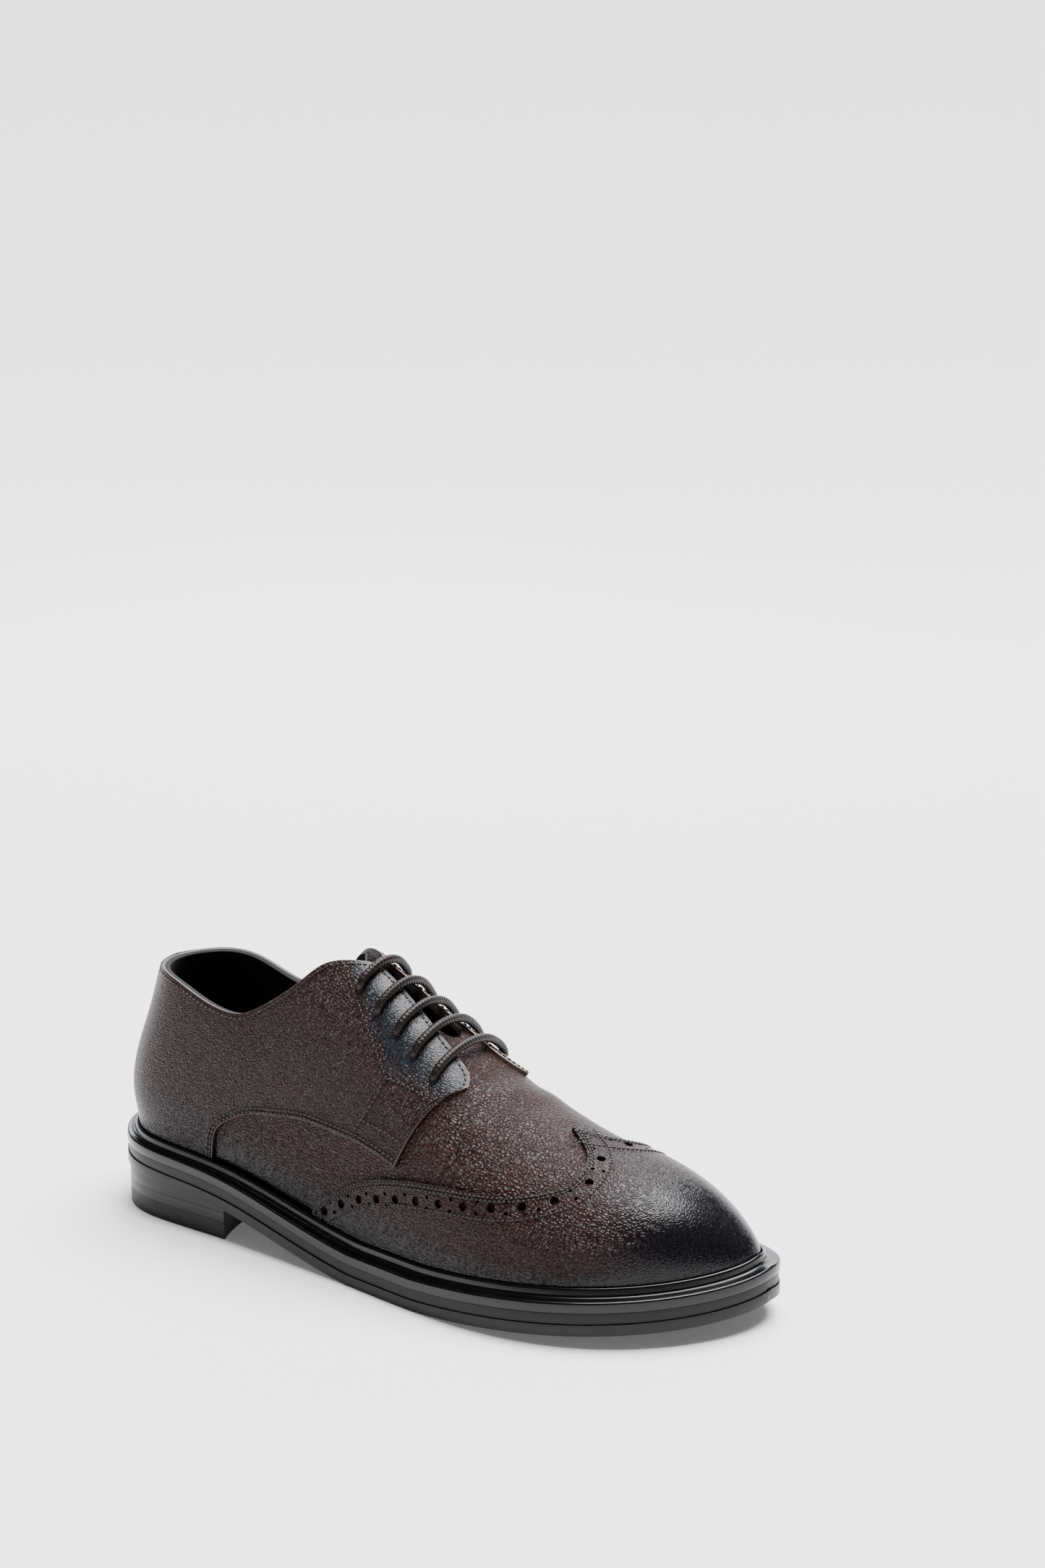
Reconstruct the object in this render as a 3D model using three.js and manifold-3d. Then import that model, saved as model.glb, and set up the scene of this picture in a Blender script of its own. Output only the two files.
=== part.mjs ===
// Wingtip derby shoe for the right foot, in millimetres. +X points to the toe, +Z is up, and -Y is
// the outer (lateral) side. The origin is on the floor under the middle of the shoe.

import * as THREE from 'three';
import { mergeVertices } from 'three/addons/utils/BufferGeometryUtils.js';
import Module from 'manifold-3d';

// Driving sizes of the last
const shoeLength = 302;          // outsole, heel to toe
const lastWidth = 88.6;          // upper at the feather line, across the ball
const heelHeight = 18.5;         // floor to the underside of the outsole, at the back
const toeSpring = 9.6;           // floor to the underside of the outsole, at the toe tip
const instepRise = 95;           // feather line to the ridge of the last, at the instep
const collarHeight = 69;         // feather line to the topline, at the back
const backLean = 12.4;           // how far the back leans forward at the topline

// Driving sizes of the bottom
const outsoleThickness = 4.2;
const midsoleThickness = 3.9;
const weltThickness = 4.3;
const shelfAtHeel = 6.6;         // welt edge beyond the feather line, at the back
const shelfAtBall = 9;
const shelfAtToe = 8.6;
const edgeBevel = 0.5;           // bevel between the three layers of the sole edge
const ribHeight = 3.3;           // storm rib that stands on the welt against the upper
const ribThickness = 1.3;
const weltReach = 4;             // welt under the upper, inside the feather line
const heelLength = 77;
const heelInset = 0.8;           // heel edge inside the outsole edge
const breastDip = 4.5;           // hollow of the heel breast, in degrees along the shoe
const topPieceThickness = 6.8;
const liftThickness = 4.2;
const insoleThickness = 2.7;

// Driving sizes of the upper
const wall = 1.8;                // vamp or quarter leather with its lining
const panelLeather = 1.1;        // wing cap, quarters and back strip, laid on the wall
const panelGap = 0.6;            // between the wall and the panels laid on it
const tongueThickness = 2;
const tongueGap = 0.7;           // between the tongue and the wall, where the tongue is sewn in
const laceRoom = 3.8;            // between the tongue and the wall, behind the eyelets
const tongueTip = 2.2;           // how far the tongue's tip stands over the wall's inner side
const laceDiameter = 3.5;
const laceArch = 0.8;            // room between the lace and the facings at mid span
const eyeletDiameter = 4.2;
const ribLean = 0.4;             // how far the storm rib's inner side leans away from the upper
const heelTaper = 0.25;          // how far the heel's foot stands inside its top
const fillerTaper = 2;           // how much the filler and the insole draw in at the toe
const insoleTaper = 5;
const gap = 0.3;                 // clearance between pieces that touch

// Angles along the last: at the toe's tip, and where the insole starts to draw in towards it
const toeTip = 180;
const taperStart = 140;

// One row a section: along is the angle along the shoe (0 heel back, 180 toe tip). half and mid are
// the feather line's half width and centre, and ridge the ridge's offset, as shares of lastWidth.
// heel and spring lift the sole's underside, as shares of heelHeight and toeSpring. rise is the
// ridge's height over the feather line, as a share of instepRise. full is the arch's fullness.
const sections = [
  { along: 0, half: 0, mid: 0.052, heel: 1, spring: 0, rise: 1.12, ridge: 0.052, full: 2.2 },
  { along: 15, half: 0.181, mid: 0.045, heel: 0.975, spring: 0, rise: 1.125, ridge: 0.043, full: 2.2 },
  { along: 30, half: 0.316, mid: 0.035, heel: 0.93, spring: 0, rise: 1.12, ridge: 0.028, full: 2.2 },
  { along: 45, half: 0.343, mid: 0.018, heel: 0.855, spring: 0, rise: 1.105, ridge: 0.01, full: 2.2 },
  { along: 60, half: 0.334, mid: -0.007, heel: 0.68, spring: 0, rise: 1.085, ridge: -0.008, full: 2.1 },
  { along: 75, half: 0.352, mid: -0.025, heel: 0.31, spring: 0, rise: 1.064, ridge: -0.006, full: 2.1 },
  { along: 90, half: 0.402, mid: -0.03, heel: 0, spring: 0, rise: 0.925, ridge: -0.05, full: 2.25 },
  { along: 105, half: 0.476, mid: -0.02, heel: 0, spring: 0.02, rise: 0.687, ridge: -0.006, full: 2.4 },
  { along: 120, half: 0.5, mid: -0.009, heel: 0, spring: 0.28, rise: 0.493, ridge: 0.021, full: 2.28 },
  { along: 135, half: 0.437, mid: 0.012, heel: 0, spring: 0.5, rise: 0.384, ridge: 0.045, full: 2.3 },
  { along: 150, half: 0.308, mid: 0.061, heel: 0, spring: 0.66, rise: 0.266, ridge: 0.073, full: 2.35 },
  { along: 165, half: 0.155, mid: 0.125, heel: 0, spring: 0.82, rise: 0.11, ridge: 0.126, full: 2.2 },
  { along: 180, half: 0, mid: 0.165, heel: 0, spring: 1, rise: 0, ridge: 0.165, full: 2.1 },
];

// Profile of the back: height as a share of collarHeight, lean forward as a share of backLean
const backProfile = [
  { height: 0, lean: 0 },
  { height: 0.06, lean: -0.01 },
  { height: 0.22, lean: -0.2 },
  { height: 0.46, lean: -0.04 },
  { height: 0.73, lean: 0.51 },
  { height: 1, lean: 1 },
  { height: 1.6, lean: 2.1 },
];

// Topline: its height is collar shares of collarHeight and ridge shares of the section's own rise
const topline = [
  { along: 0, collar: 1, ridge: 0 },
  { along: 15, collar: 1.01, ridge: 0 },
  { along: 30, collar: 1.015, ridge: 0 },
  { along: 38, collar: 0.993, ridge: 0 },
  { along: 45, collar: 0.957, ridge: 0 },
  { along: 52, collar: 0.933, ridge: 0 },
  { along: 57, collar: 0.954, ridge: 0 },
  { along: 62, collar: 0.7, ridge: 0.24 },
  { along: 67.5, collar: 0.35, ridge: 0.592 },
  { along: 71.5, collar: 0.08, ridge: 0.878 },
  { along: 75.3, collar: 0, ridge: 0.975 },
];

// Edges of the facings from the topline to the last corner, as angles along and around the shoe.
// around is 0 at the lateral feather line, 90 on the ridge and 180 at the medial feather line.
const lateralFacing = [[77.5, 81.4], [79.3, 85.5], [81, 87.4], [86.5, 88], [90.5, 86.2], [95, 82.1],
  [99.7, 78.1], [102.1, 74.7], [103.3, 69]];
const medialFacing = [[77.3, 99.5], [79, 97.6], [80.8, 99], [83.5, 103], [87, 106], [91, 108],
  [95.3, 108.5], [98.8, 107], [101.2, 107.5], [103.4, 110.5], [104.8, 116]];
const quarterCorner = [96.4, 26.4];

// Lower edge of the quarter, from the feather line to its front corner
const quarterEdge = [[53.8, 0], [54.5, 4.7], [55.8, 8.5], [59.1, 12.4], [63.6, 16], [69.9, 19.2],
  [76, 22.2], [82.1, 24.2], [88.2, 26.2], quarterCorner];

// Opening of the wall under the facings, which ends on the vamp
const lateralSlot = [[81, 87.4], [86.5, 88], [90.5, 86.2], [93.6, 86.4], [95.6, 90], [96.3, 96.5]];
const medialSlot = [[80.8, 99], [83.5, 103], [87, 106], [91, 107], [94.5, 104], [96.3, 96.5]];
const crest = [[96.3, 96.5], [104, 95], [112, 92], [120, 90], [140, 90], [160, 90], [toeTip, 90]];

// Outer edge of the wing cap, from its end on the feather line to its peak on the ridge
const wingEdge = [[78.2, 0], [79.4, 3.7], [81.6, 7.2], [85, 11.5], [88.8, 16.3], [92.7, 20],
  [98.4, 24.5], [105.7, 30], [112.5, 34.7], [118.5, 39.8], [123.8, 47], [127.1, 54.5], [127.7, 65.7],
  [125.8, 76.4], [122.2, 84.8], [119.2, 90]];

// Eyelets of the lateral facing, and their distance from the ridge on the medial one
const eyelets = [
  { along: 80, lateral: 68.4, medial: 117 },
  { along: 85, lateral: 65.9, medial: 124 },
  { along: 89.6, lateral: 65.2, medial: 127 },
  { along: 93.9, lateral: 62.6, medial: 127 },
  { along: 98.4, lateral: 60.5, medial: 125.5 },
];

// Edges of the tongue, which lies under the wall, and its distance from the wall's inner side
const tongueLateral = [[75.6, 91], [76.6, 88], [77.8, 82], [79.4, 73], [82, 65], [88, 60], [96, 57],
  [102, 56], [106, 56]];
const tongueMedial = [[75.6, 96], [76.6, 98.5], [77.8, 101.5], [79.4, 111], [82, 121], [88, 130], [96, 133],
  [102, 132], [106, 131]];
const tongueDrop = [
  { along: 75.6, under: -tongueTip },
  { along: 77.8, under: tongueGap },
  { along: 80.6, under: laceRoom },
  { along: 90, under: laceRoom },
  { along: 99, under: laceRoom },
  { along: 103.5, under: tongueGap },
  { along: 106, under: tongueGap },
];

// Welt edge beyond the feather line
const shelfRows = [
  { along: 0, out: shelfAtHeel },
  { along: 60, out: (shelfAtHeel + shelfAtBall) / 2 },
  { along: 90, out: shelfAtBall },
  { along: 140, out: shelfAtBall },
  { along: toeTip, out: shelfAtToe },
];

// A lace bar between its eyelets: share of the span, and height over the facings as a share of laceArch
const laceCourse = [
  { share: 0.12, rise: 0.5 },
  { share: 0.3, rise: 0.9 },
  { share: 0.5, rise: 1 },
  { share: 0.7, rise: 0.9 },
  { share: 0.88, rise: 0.5 },
];

const backStripTop = 13;         // half width of the back strip at the topline, in degrees along
const backStripFoot = 8.5;       // and at its foot
const overlayFoot = 2.2;         // foot of the back strip over the feather line, in degrees around

const halfTurn = 180;
const degree = Math.PI / halfTurn;
const merge = 1e-3;              // points closer than this become one
const wasm = await Module();
wasm.setup();

// Natural cubic spline through the rows of a table
function spline(xs, ys) {
  const n = xs.length;
  const right = new Array(n).fill(0);
  const upper = new Array(n).fill(0);
  for (let i = 1; i < n - 1; i++) {
    const before = xs[i] - xs[i - 1];
    const after = xs[i + 1] - xs[i];
    const slope = (ys[i + 1] - ys[i]) / after - (ys[i] - ys[i - 1]) / before;
    const pivot = 2 * (before + after) - before * upper[i - 1];
    upper[i] = after / pivot;
    right[i] = (6 * slope - before * right[i - 1]) / pivot;
  }
  const bend = new Array(n).fill(0);
  for (let i = n - 2; i > 0; i--) {
    bend[i] = right[i] - upper[i] * bend[i + 1];
  }
  return (x) => {
    let i = 0;
    while (i < n - 2 && x > xs[i + 1]) i += 1;
    const h = xs[i + 1] - xs[i];
    const a = xs[i + 1] - x;
    const b = x - xs[i];
    const cubic = (bend[i] * a ** 3 + bend[i + 1] * b ** 3) / (6 * h);
    return cubic + (ys[i] / h - (bend[i] * h) / 6) * a + (ys[i + 1] / h - (bend[i + 1] * h) / 6) * b;
  };
}

function column(name, scale) {
  return spline(sections.map((row) => row.along), sections.map((row) => row[name] * scale));
}

const halfWidth = column('half', lastWidth);
const midLine = column('mid', lastWidth);
const ridgeLine = column('ridge', lastWidth);
const heelRise = column('heel', heelHeight);
const springRise = column('spring', toeSpring);
const ridgeRise = column('rise', instepRise);
const fullness = column('full', 1);
const leanAt = spline(
  backProfile.map((row) => row.height * collarHeight),
  backProfile.map((row) => row.lean * backLean),
);
const shelf = spline(shelfRows.map((row) => row.along), shelfRows.map((row) => row.out));

const featherBack = -shoeLength / 2 + shelfAtHeel;
const featherFront = shoeLength / 2 - shelfAtToe;
const soleEdge = outsoleThickness + gap + midsoleThickness + gap + weltThickness;

// Height of the outsole's underside. It is cut flat where the tread rests on the floor.
function tread(along) {
  return Math.max(0, heelRise(along) + springRise(along));
}

function featherX(along) {
  return (featherBack + featherFront) / 2 - ((featherFront - featherBack) / 2) * Math.cos(along * degree);
}

// A point of the last: its section is a superellipse from feather line to feather line over the
// ridge. Past the back of the heel it goes on round the other side.
function lastPoint(along, around) {
  if (along < 0) return lastPoint(-along, halfTurn - around);
  const foot = tread(along) + soleEdge + gap;
  const ridge = ridgeLine(along);
  const reach = around < 90
    ? ridge - midLine(along) + halfWidth(along)
    : midLine(along) + halfWidth(along) - ridge;
  const c = Math.cos(around * degree);
  const s = Math.sin(around * degree);
  const n = fullness(along);
  const radius = (Math.abs(c) ** n + Math.abs(s) ** n) ** (-1 / n);
  const height = Math.max(0, ridgeRise(along)) * radius * s;
  const fade = ((1 + Math.cos(along * degree)) / 2) ** 2;
  return new THREE.Vector3(
    featherX(along) + leanAt(height) * fade,
    ridge - Math.max(0, reach) * radius * c,
    foot + height,
  );
}

// The same point moved out from the last along its normal, and kept over the welt
function skinPoint([along, around], out) {
  const tip = featherFront + out;
  if (along >= toeTip) return new THREE.Vector3(tip, midLine(toeTip), tread(toeTip) + soleEdge + gap);
  const step = 0.01;
  const alongStep = lastPoint(along + step, around).sub(lastPoint(along - step, around));
  const aroundStep = lastPoint(along, around + step).sub(lastPoint(along, around - step));
  const normal = alongStep.cross(aroundStep).normalize();
  const point = lastPoint(along, around).addScaledVector(normal, out);
  point.z = Math.max(point.z, tread(along) + soleEdge + gap);
  return point;
}

// A point of the feather line moved out by a distance in the plane of the sole
function edgePoint(along, side, out) {
  const y = (a) => midLine(a) + side * halfWidth(a);
  const step = 0.01;
  const nearEnd = 0.1;
  const a = Math.min(toeTip - nearEnd, Math.max(nearEnd, along));
  const run = new THREE.Vector2(featherX(a + step) - featherX(a - step), y(a + step) - y(a - step));
  run.normalize();
  const end = along === 0 || along === toeTip;
  const outX = end ? -Math.cos(along * degree) : -side * run.y;
  const outY = end ? 0 : side * run.x;
  return new THREE.Vector2(featherX(along) + outX * out, y(along) + outY * out);
}

// Patches, as grids of parameter pairs that run from a low line to a high line
function ribbon(points, count, from = 0, to = 1) {
  const curve = new THREE.CatmullRomCurve3(points.map(([a, b]) => new THREE.Vector3(a, b, 0)), false,
    'centripetal');
  return Array.from({ length: count + 1 }, (_, i) => {
    const p = curve.getPointAt(from + ((to - from) * i) / count);
    return [p.x, p.y];
  });
}

function chain(...runs) {
  return runs.flatMap((run, i) => (i === 0 ? run : run.slice(1)));
}

function patch(low, high, rows) {
  const between = (i, k) => [0, 1].map((axis) => low[i][axis] + ((high[i][axis] - low[i][axis]) * k) / rows);
  const cells = [];
  for (let i = 0; i < low.length - 1; i++) {
    for (let k = 0; k < rows; k++) {
      const [a, b, c, d] = [between(i, k), between(i + 1, k), between(i + 1, k + 1), between(i, k + 1)];
      cells.push([a, b, c], [a, c, d]);
    }
  }
  return cells;
}

function mirrored(points) {
  return points.map(([along, around]) => [along, halfTurn - around]);
}

// Closed mesh over patches. place(pair, level) gives a point, the first level is the underside and
// the last the top, and the open edges get a wall that passes through every level.
function solid(cells, levels, place) {
  const index = new Map();
  const pairs = [];
  const find = (pair) => {
    const at = place(pair, levels[levels.length - 1]);
    const key = [at.x, at.y, at.z].map((value) => Math.round(value / merge)).join();
    if (!index.has(key)) {
      index.set(key, pairs.length);
      pairs.push(pair);
    }
    return index.get(key);
  };
  const faces = [];
  for (const [a, b, c] of cells) {
    const turn = (b[0] - a[0]) * (c[1] - a[1]) - (b[1] - a[1]) * (c[0] - a[0]);
    const face = (turn > 0 ? [a, b, c] : [a, c, b]).map(find);
    if (new Set(face).size === 3) faces.push(face);
  }
  const open = new Map();
  for (const face of faces) {
    for (let i = 0; i < 3; i++) {
      const [p, q] = [face[i], face[(i + 1) % 3]];
      if (open.has(`${q},${p}`)) open.delete(`${q},${p}`);
      else open.set(`${p},${q}`, [p, q]);
    }
  }
  const count = pairs.length;
  const position = [];
  for (const level of levels) {
    for (const pair of pairs) position.push(...place(pair, level).toArray());
  }
  const top = (levels.length - 1) * count;
  const triangles = [];
  for (const [a, b, c] of faces) {
    triangles.push(top + a, top + b, top + c, a, c, b);
  }
  for (const [p, q] of open.values()) {
    for (let k = 0; k < levels.length - 1; k++) {
      const [low, high] = [k * count, (k + 1) * count];
      triangles.push(low + p, high + q, high + p, low + p, low + q, high + q);
    }
  }
  return closed(position, triangles);
}

// Geometry with its shared points merged, its flat faces dropped and its faces turned outward
function closed(position, triangles) {
  const raw = new THREE.BufferGeometry();
  raw.setAttribute('position', new THREE.Float32BufferAttribute(position, 3));
  raw.setIndex(triangles);
  const geometry = mergeVertices(raw, merge);
  const at = geometry.getAttribute('position');
  const corner = (i) => new THREE.Vector3().fromBufferAttribute(at, i);
  const kept = [];
  let volume = 0;
  for (let i = 0; i < geometry.index.count; i += 3) {
    const face = [0, 1, 2].map((k) => geometry.index.getX(i + k));
    if (new Set(face).size < 3) continue;
    kept.push(face);
    const [a, b, c] = face.map(corner);
    volume += a.dot(b.cross(c));
  }
  geometry.setIndex(kept.flatMap(([a, b, c]) => (volume > 0 ? [a, b, c] : [a, c, b])));
  geometry.computeVertexNormals();
  return geometry;
}

// A closed profile carried round the whole feather line, for the welt
function hoop(profile, columns) {
  const position = [];
  for (let i = 0; i < columns; i++) {
    const turn = (2 * toeTip * i) / columns;
    const along = turn <= toeTip ? turn : 2 * toeTip - turn;
    const side = turn <= toeTip ? -1 : 1;
    for (const { share, out, height } of profile) {
      const p = edgePoint(along, side, share * shelf(along) + out);
      position.push(p.x, p.y, tread(along) + height);
    }
  }
  const triangles = [];
  const size = profile.length;
  for (let i = 0; i < columns; i++) {
    for (let k = 0; k < size; k++) {
      const [a, b] = [i * size + k, i * size + ((k + 1) % size)];
      const [c, d] = [((i + 1) % columns) * size + k, ((i + 1) % columns) * size + ((k + 1) % size)];
      triangles.push(a, b, d, a, d, c);
    }
  }
  return closed(position, triangles);
}

// Plates of the bottom. A pair is the angle along and the place across, from -1 lateral to 1 medial.
function platePoint([along, across], { share, out, height }) {
  const reach = share * shelf(along) + out(along);
  const lateral = edgePoint(along, -1, reach);
  const medial = edgePoint(along, 1, reach);
  const p = lateral.lerp(medial, (across + 1) / 2);
  return new THREE.Vector3(p.x, p.y, height(along));
}

function plateCells(columns, across, end) {
  const cells = [];
  const pair = (i, k) => {
    const place = (2 * k) / across - 1;
    return [(end(place) * i) / columns, place];
  };
  for (let i = 0; i < columns; i++) {
    for (let k = 0; k < across; k++) {
      cells.push([pair(i, k), pair(i + 1, k), pair(i + 1, k + 1)]);
      cells.push([pair(i, k), pair(i + 1, k + 1), pair(i, k + 1)]);
    }
  }
  return cells;
}

const flat = (value) => () => value;
const overTread = (height) => (along) => tread(along) + height;

function material(color, roughness) {
  return new THREE.MeshStandardMaterial({ color, roughness, metalness: 0 });
}

const burgundyLeather = material('#3b2925', 0.45);
const burnishedLeather = material('#2c2224', 0.35);
const blackEdge = material('#1c1c1d', 0.4);
const heelRubber = material('#26272a', 0.55);
const liningFelt = material('#141413', 0.95);
const waxedCord = material('#1d1613', 0.5);

const shoe = new THREE.Group();

function add(name, geometry, look) {
  const mesh = new THREE.Mesh(geometry, look);
  mesh.name = name;
  shoe.add(mesh);
  return mesh;
}

// Bottom: three heel lifts, outsole, midsole and welt
const soleColumns = 30;
const soleAcross = 2;
const fullLength = plateCells(soleColumns, soleAcross, flat(toeTip));

function soleLayer(name, low, thickness, look) {
  const level = (out, height) => ({ share: 1, out: flat(out), height: overTread(height) });
  const levels = [
    level(-edgeBevel, low),
    level(0, low + edgeBevel),
    level(0, low + thickness - edgeBevel),
    level(-edgeBevel, low + thickness),
  ];
  add(name, solid(fullLength, levels, platePoint), look);
}

soleLayer('outsole', 0, outsoleThickness, blackEdge);
soleLayer('midsole', outsoleThickness + gap, midsoleThickness, blackEdge);

const heelFront = Math.acos(((featherBack + featherFront) / 2 + shoeLength / 2 - heelLength)
  / ((featherFront - featherBack) / 2)) / degree;
const breast = (across) => heelFront - breastDip * (1 - across * across);
const heelColumns = 9;
const heelAcross = 4;
const heelCells = plateCells(heelColumns, heelAcross, breast);

function heelSlab(name, low, high, look) {
  const level = (height, out) => ({ share: 1, out: flat(-heelInset - out), height });
  const levels = [level(low, heelTaper), level(high, 0)];
  add(name, solid(heelCells, levels, platePoint), look);
}

const firstLift = topPieceThickness + gap;
const secondLift = firstLift + liftThickness + gap;
heelSlab('heel_top_piece', flat(0), flat(topPieceThickness), heelRubber);
heelSlab('heel_lift_lower', flat(firstLift), flat(firstLift + liftThickness - gap), blackEdge);
heelSlab('heel_lift_upper', flat(secondLift - gap), overTread(-gap), blackEdge);

const weltFoot = outsoleThickness + gap + midsoleThickness + gap;
const panelTop = panelGap + panelLeather;
const ribInside = panelTop + panelGap;
add('welt', hoop([
  { share: 1, out: -edgeBevel, height: weltFoot },
  { share: 1, out: 0, height: weltFoot + edgeBevel },
  { share: 1, out: 0, height: soleEdge - edgeBevel },
  { share: 1, out: -edgeBevel, height: soleEdge },
  { share: 0, out: ribInside + ribThickness, height: soleEdge },
  { share: 0, out: ribInside + ribThickness, height: soleEdge + ribHeight },
  { share: 0, out: ribInside + ribLean, height: soleEdge + ribHeight },
  { share: 0, out: ribInside, height: soleEdge },
  { share: 0, out: -weltReach, height: soleEdge },
  { share: 0, out: -weltReach, height: weltFoot },
], 2 * soleColumns), blackEdge);

// Insole, with the filler under it that fills the ring of the welt
const toeward = (along) => Math.max(0, (along - taperStart) / (toeTip - taperStart)) ** 2;
const insideWelt = (along) => -weltReach - gap - fillerTaper * toeward(along);
const insideWall = (along) => -wall - 2 * gap - insoleTaper * toeward(along);
const insoleTop = soleEdge + gap + insoleThickness;
add('insole', solid(fullLength, [
  { share: 0, out: insideWelt, height: overTread(weltFoot) },
  { share: 0, out: insideWelt, height: overTread(soleEdge + gap) },
  { share: 0, out: insideWall, height: overTread(soleEdge + gap) },
  { share: 0, out: insideWall, height: overTread(insoleTop) },
], platePoint), liningFelt);

// Upper: the wall over the whole last, open along the topline and the slot, and underneath
const topShare = 0.999;          // the topline stays below the ridge

function toplinePair({ along, collar, ridge }) {
  const share = Math.min(topShare, (collar * collarHeight) / ridgeRise(along) + ridge);
  const n = fullness(along);
  return [along, Math.atan2(share, (1 - share ** n) ** (1 / n)) / degree];
}

const lateralTopline = topline.map(toplinePair);
const medialTopline = mirrored(lateralTopline);
const featherRun = (from, to, count) => ribbon([[from, 0], [(from + to) / 2, 0], [to, 0]], count);

const collarColumns = 17;
const slotColumns = 6;
const crestColumns = 14;
const wallRows = 7;
const slotStart = 78;            // angles along the feather line under the slot's ends
const slotEnd = 100;

function wallHalf(toplineEdge, facing, slot, flip) {
  const low = chain(
    featherRun(0, slotStart, collarColumns),
    featherRun(slotStart, slotEnd, slotColumns),
    featherRun(slotEnd, toeTip, crestColumns),
  );
  const high = chain(
    ribbon([...toplineEdge, ...facing.slice(0, facing.findIndex((pair) => pair[0] === slot[0][0]) + 1)],
      collarColumns),
    ribbon(slot, slotColumns),
    ribbon(crest, crestColumns),
  );
  return patch(flip ? mirrored(low) : low, high, wallRows);
}

function manifoldOf(geometry) {
  const at = geometry.getAttribute('position');
  const mesh = new wasm.Mesh({
    numProp: 3,
    vertProperties: Float32Array.from(at.array),
    triVerts: Uint32Array.from(geometry.index.array),
  });
  return new wasm.Manifold(mesh);
}

const drillSides = 8;
const drillReach = 4 * wall;     // how far the drill reaches to both sides of the last's surface

// Eyelet holes punched through a piece, square to its surface
function punched(geometry, sides) {
  let body = manifoldOf(geometry);
  for (const eyelet of eyelets) {
    for (const side of sides) {
      const pair = [eyelet.along, eyelet[side]];
      const inner = skinPoint(pair, -drillReach);
      const outer = skinPoint(pair, drillReach);
      const radius = eyeletDiameter / 2;
      const drill = new THREE.CylinderGeometry(radius, radius, 2 * drillReach, drillSides);
      drill.deleteAttribute('normal');
      drill.deleteAttribute('uv');
      const axis = outer.clone().sub(inner).normalize();
      drill.applyQuaternion(new THREE.Quaternion().setFromUnitVectors(new THREE.Vector3(0, 1, 0), axis));
      drill.translate(...inner.add(outer).multiplyScalar(0.5).toArray());
      body = body.subtract(manifoldOf(mergeVertices(drill, merge)));
    }
  }
  const mesh = body.getMesh();
  return closed(Array.from(mesh.vertProperties), Array.from(mesh.triVerts));
}

const upper = solid([
  ...wallHalf(lateralTopline, lateralFacing, lateralSlot, false),
  ...wallHalf(medialTopline, medialFacing, medialSlot, true),
], [-wall, 0], skinPoint);
add('upper', punched(upper, ['lateral', 'medial']), burgundyLeather);

// Panels laid on the wall: two quarters with their facings, the back strip and the wing cap
const panel = [panelGap, panelTop];
const backColumns = 9;
const facingColumns = 17;
const quarterRows = 7;
const backShare = 0.3;           // share of the topline and facing over the quarter's foot

function quarter(toplineEdge, facing, flip) {
  const low = chain(featherRun(0, quarterEdge[0][0], backColumns), ribbon(quarterEdge, facingColumns));
  const edge = [...toplineEdge, ...facing];
  const high = chain(ribbon(edge, backColumns, 0, backShare), ribbon(edge, facingColumns, backShare, 1));
  return patch(flip ? mirrored(low) : low, high, quarterRows);
}

const quarterGeometry = {
  lateral: solid(quarter(lateralTopline, lateralFacing, false), panel, skinPoint),
  medial: solid(quarter(medialTopline, medialFacing, true), panel, skinPoint),
};
for (const side of ['lateral', 'medial']) {
  add(`quarter_${side}`, punched(quarterGeometry[side], [side]), burgundyLeather);
}

const stripRows = 8;
const stripColumns = 3;
const stripTop = (along) => toplinePair({ along, collar: 1, ridge: 0 });
const stripLow = ribbon([[0, overlayFoot], [backStripFoot / 2, overlayFoot], [backStripFoot, overlayFoot]],
  stripColumns);
const stripHigh = ribbon([stripTop(0), stripTop(backStripTop / 2), stripTop(backStripTop)], stripColumns);
add('back_strip', solid([
  ...patch(stripLow, stripHigh, stripRows),
  ...patch(mirrored(stripLow), mirrored(stripHigh), stripRows),
], [panelTop + panelGap, panelTop + panelGap + panelLeather], skinPoint), burnishedLeather);

const capRows = 7;
const wingColumns = 15;
const tipColumns = 7;
const tipFan = [[toeTip, 0], [toeTip, 45], [toeTip, 90]];
const capLow = chain(featherRun(wingEdge[0][0], toeTip, wingColumns), ribbon(tipFan, tipColumns));
const capHigh = ribbon(wingEdge, wingColumns + tipColumns);
add('wing_cap', solid([
  ...patch(capLow, capHigh, capRows),
  ...patch(mirrored(capLow), mirrored(capHigh), capRows),
], panel, skinPoint), burnishedLeather);

// Tongue: dropped under the slot to leave room for the lace, sewn in at its foot, its tip standing up
const tongueColumns = 14;
const tongueRows = 5;
const tongueUnder = spline(tongueDrop.map((row) => row.along), tongueDrop.map((row) => row.under));
const tonguePoint = (pair, depth) => skinPoint(pair, -wall - tongueUnder(pair[0]) - depth);
const tongueEdges = [tongueLateral, tongueMedial].map((edge) => ribbon(edge, tongueColumns));
add('tongue', solid(patch(...tongueEdges, tongueRows), [tongueThickness, 0], tonguePoint), burgundyLeather);

// Five lace bars, each from one eyelet over both facings into the other
const cordSides = 6;
const cordSteps = 14;
const cordSection = new THREE.Shape(Array.from({ length: cordSides }, (_, i) => new THREE.Vector2(
  (laceDiameter / 2) * Math.cos((2 * Math.PI * i) / cordSides),
  (laceDiameter / 2) * Math.sin((2 * Math.PI * i) / cordSides),
)));

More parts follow.
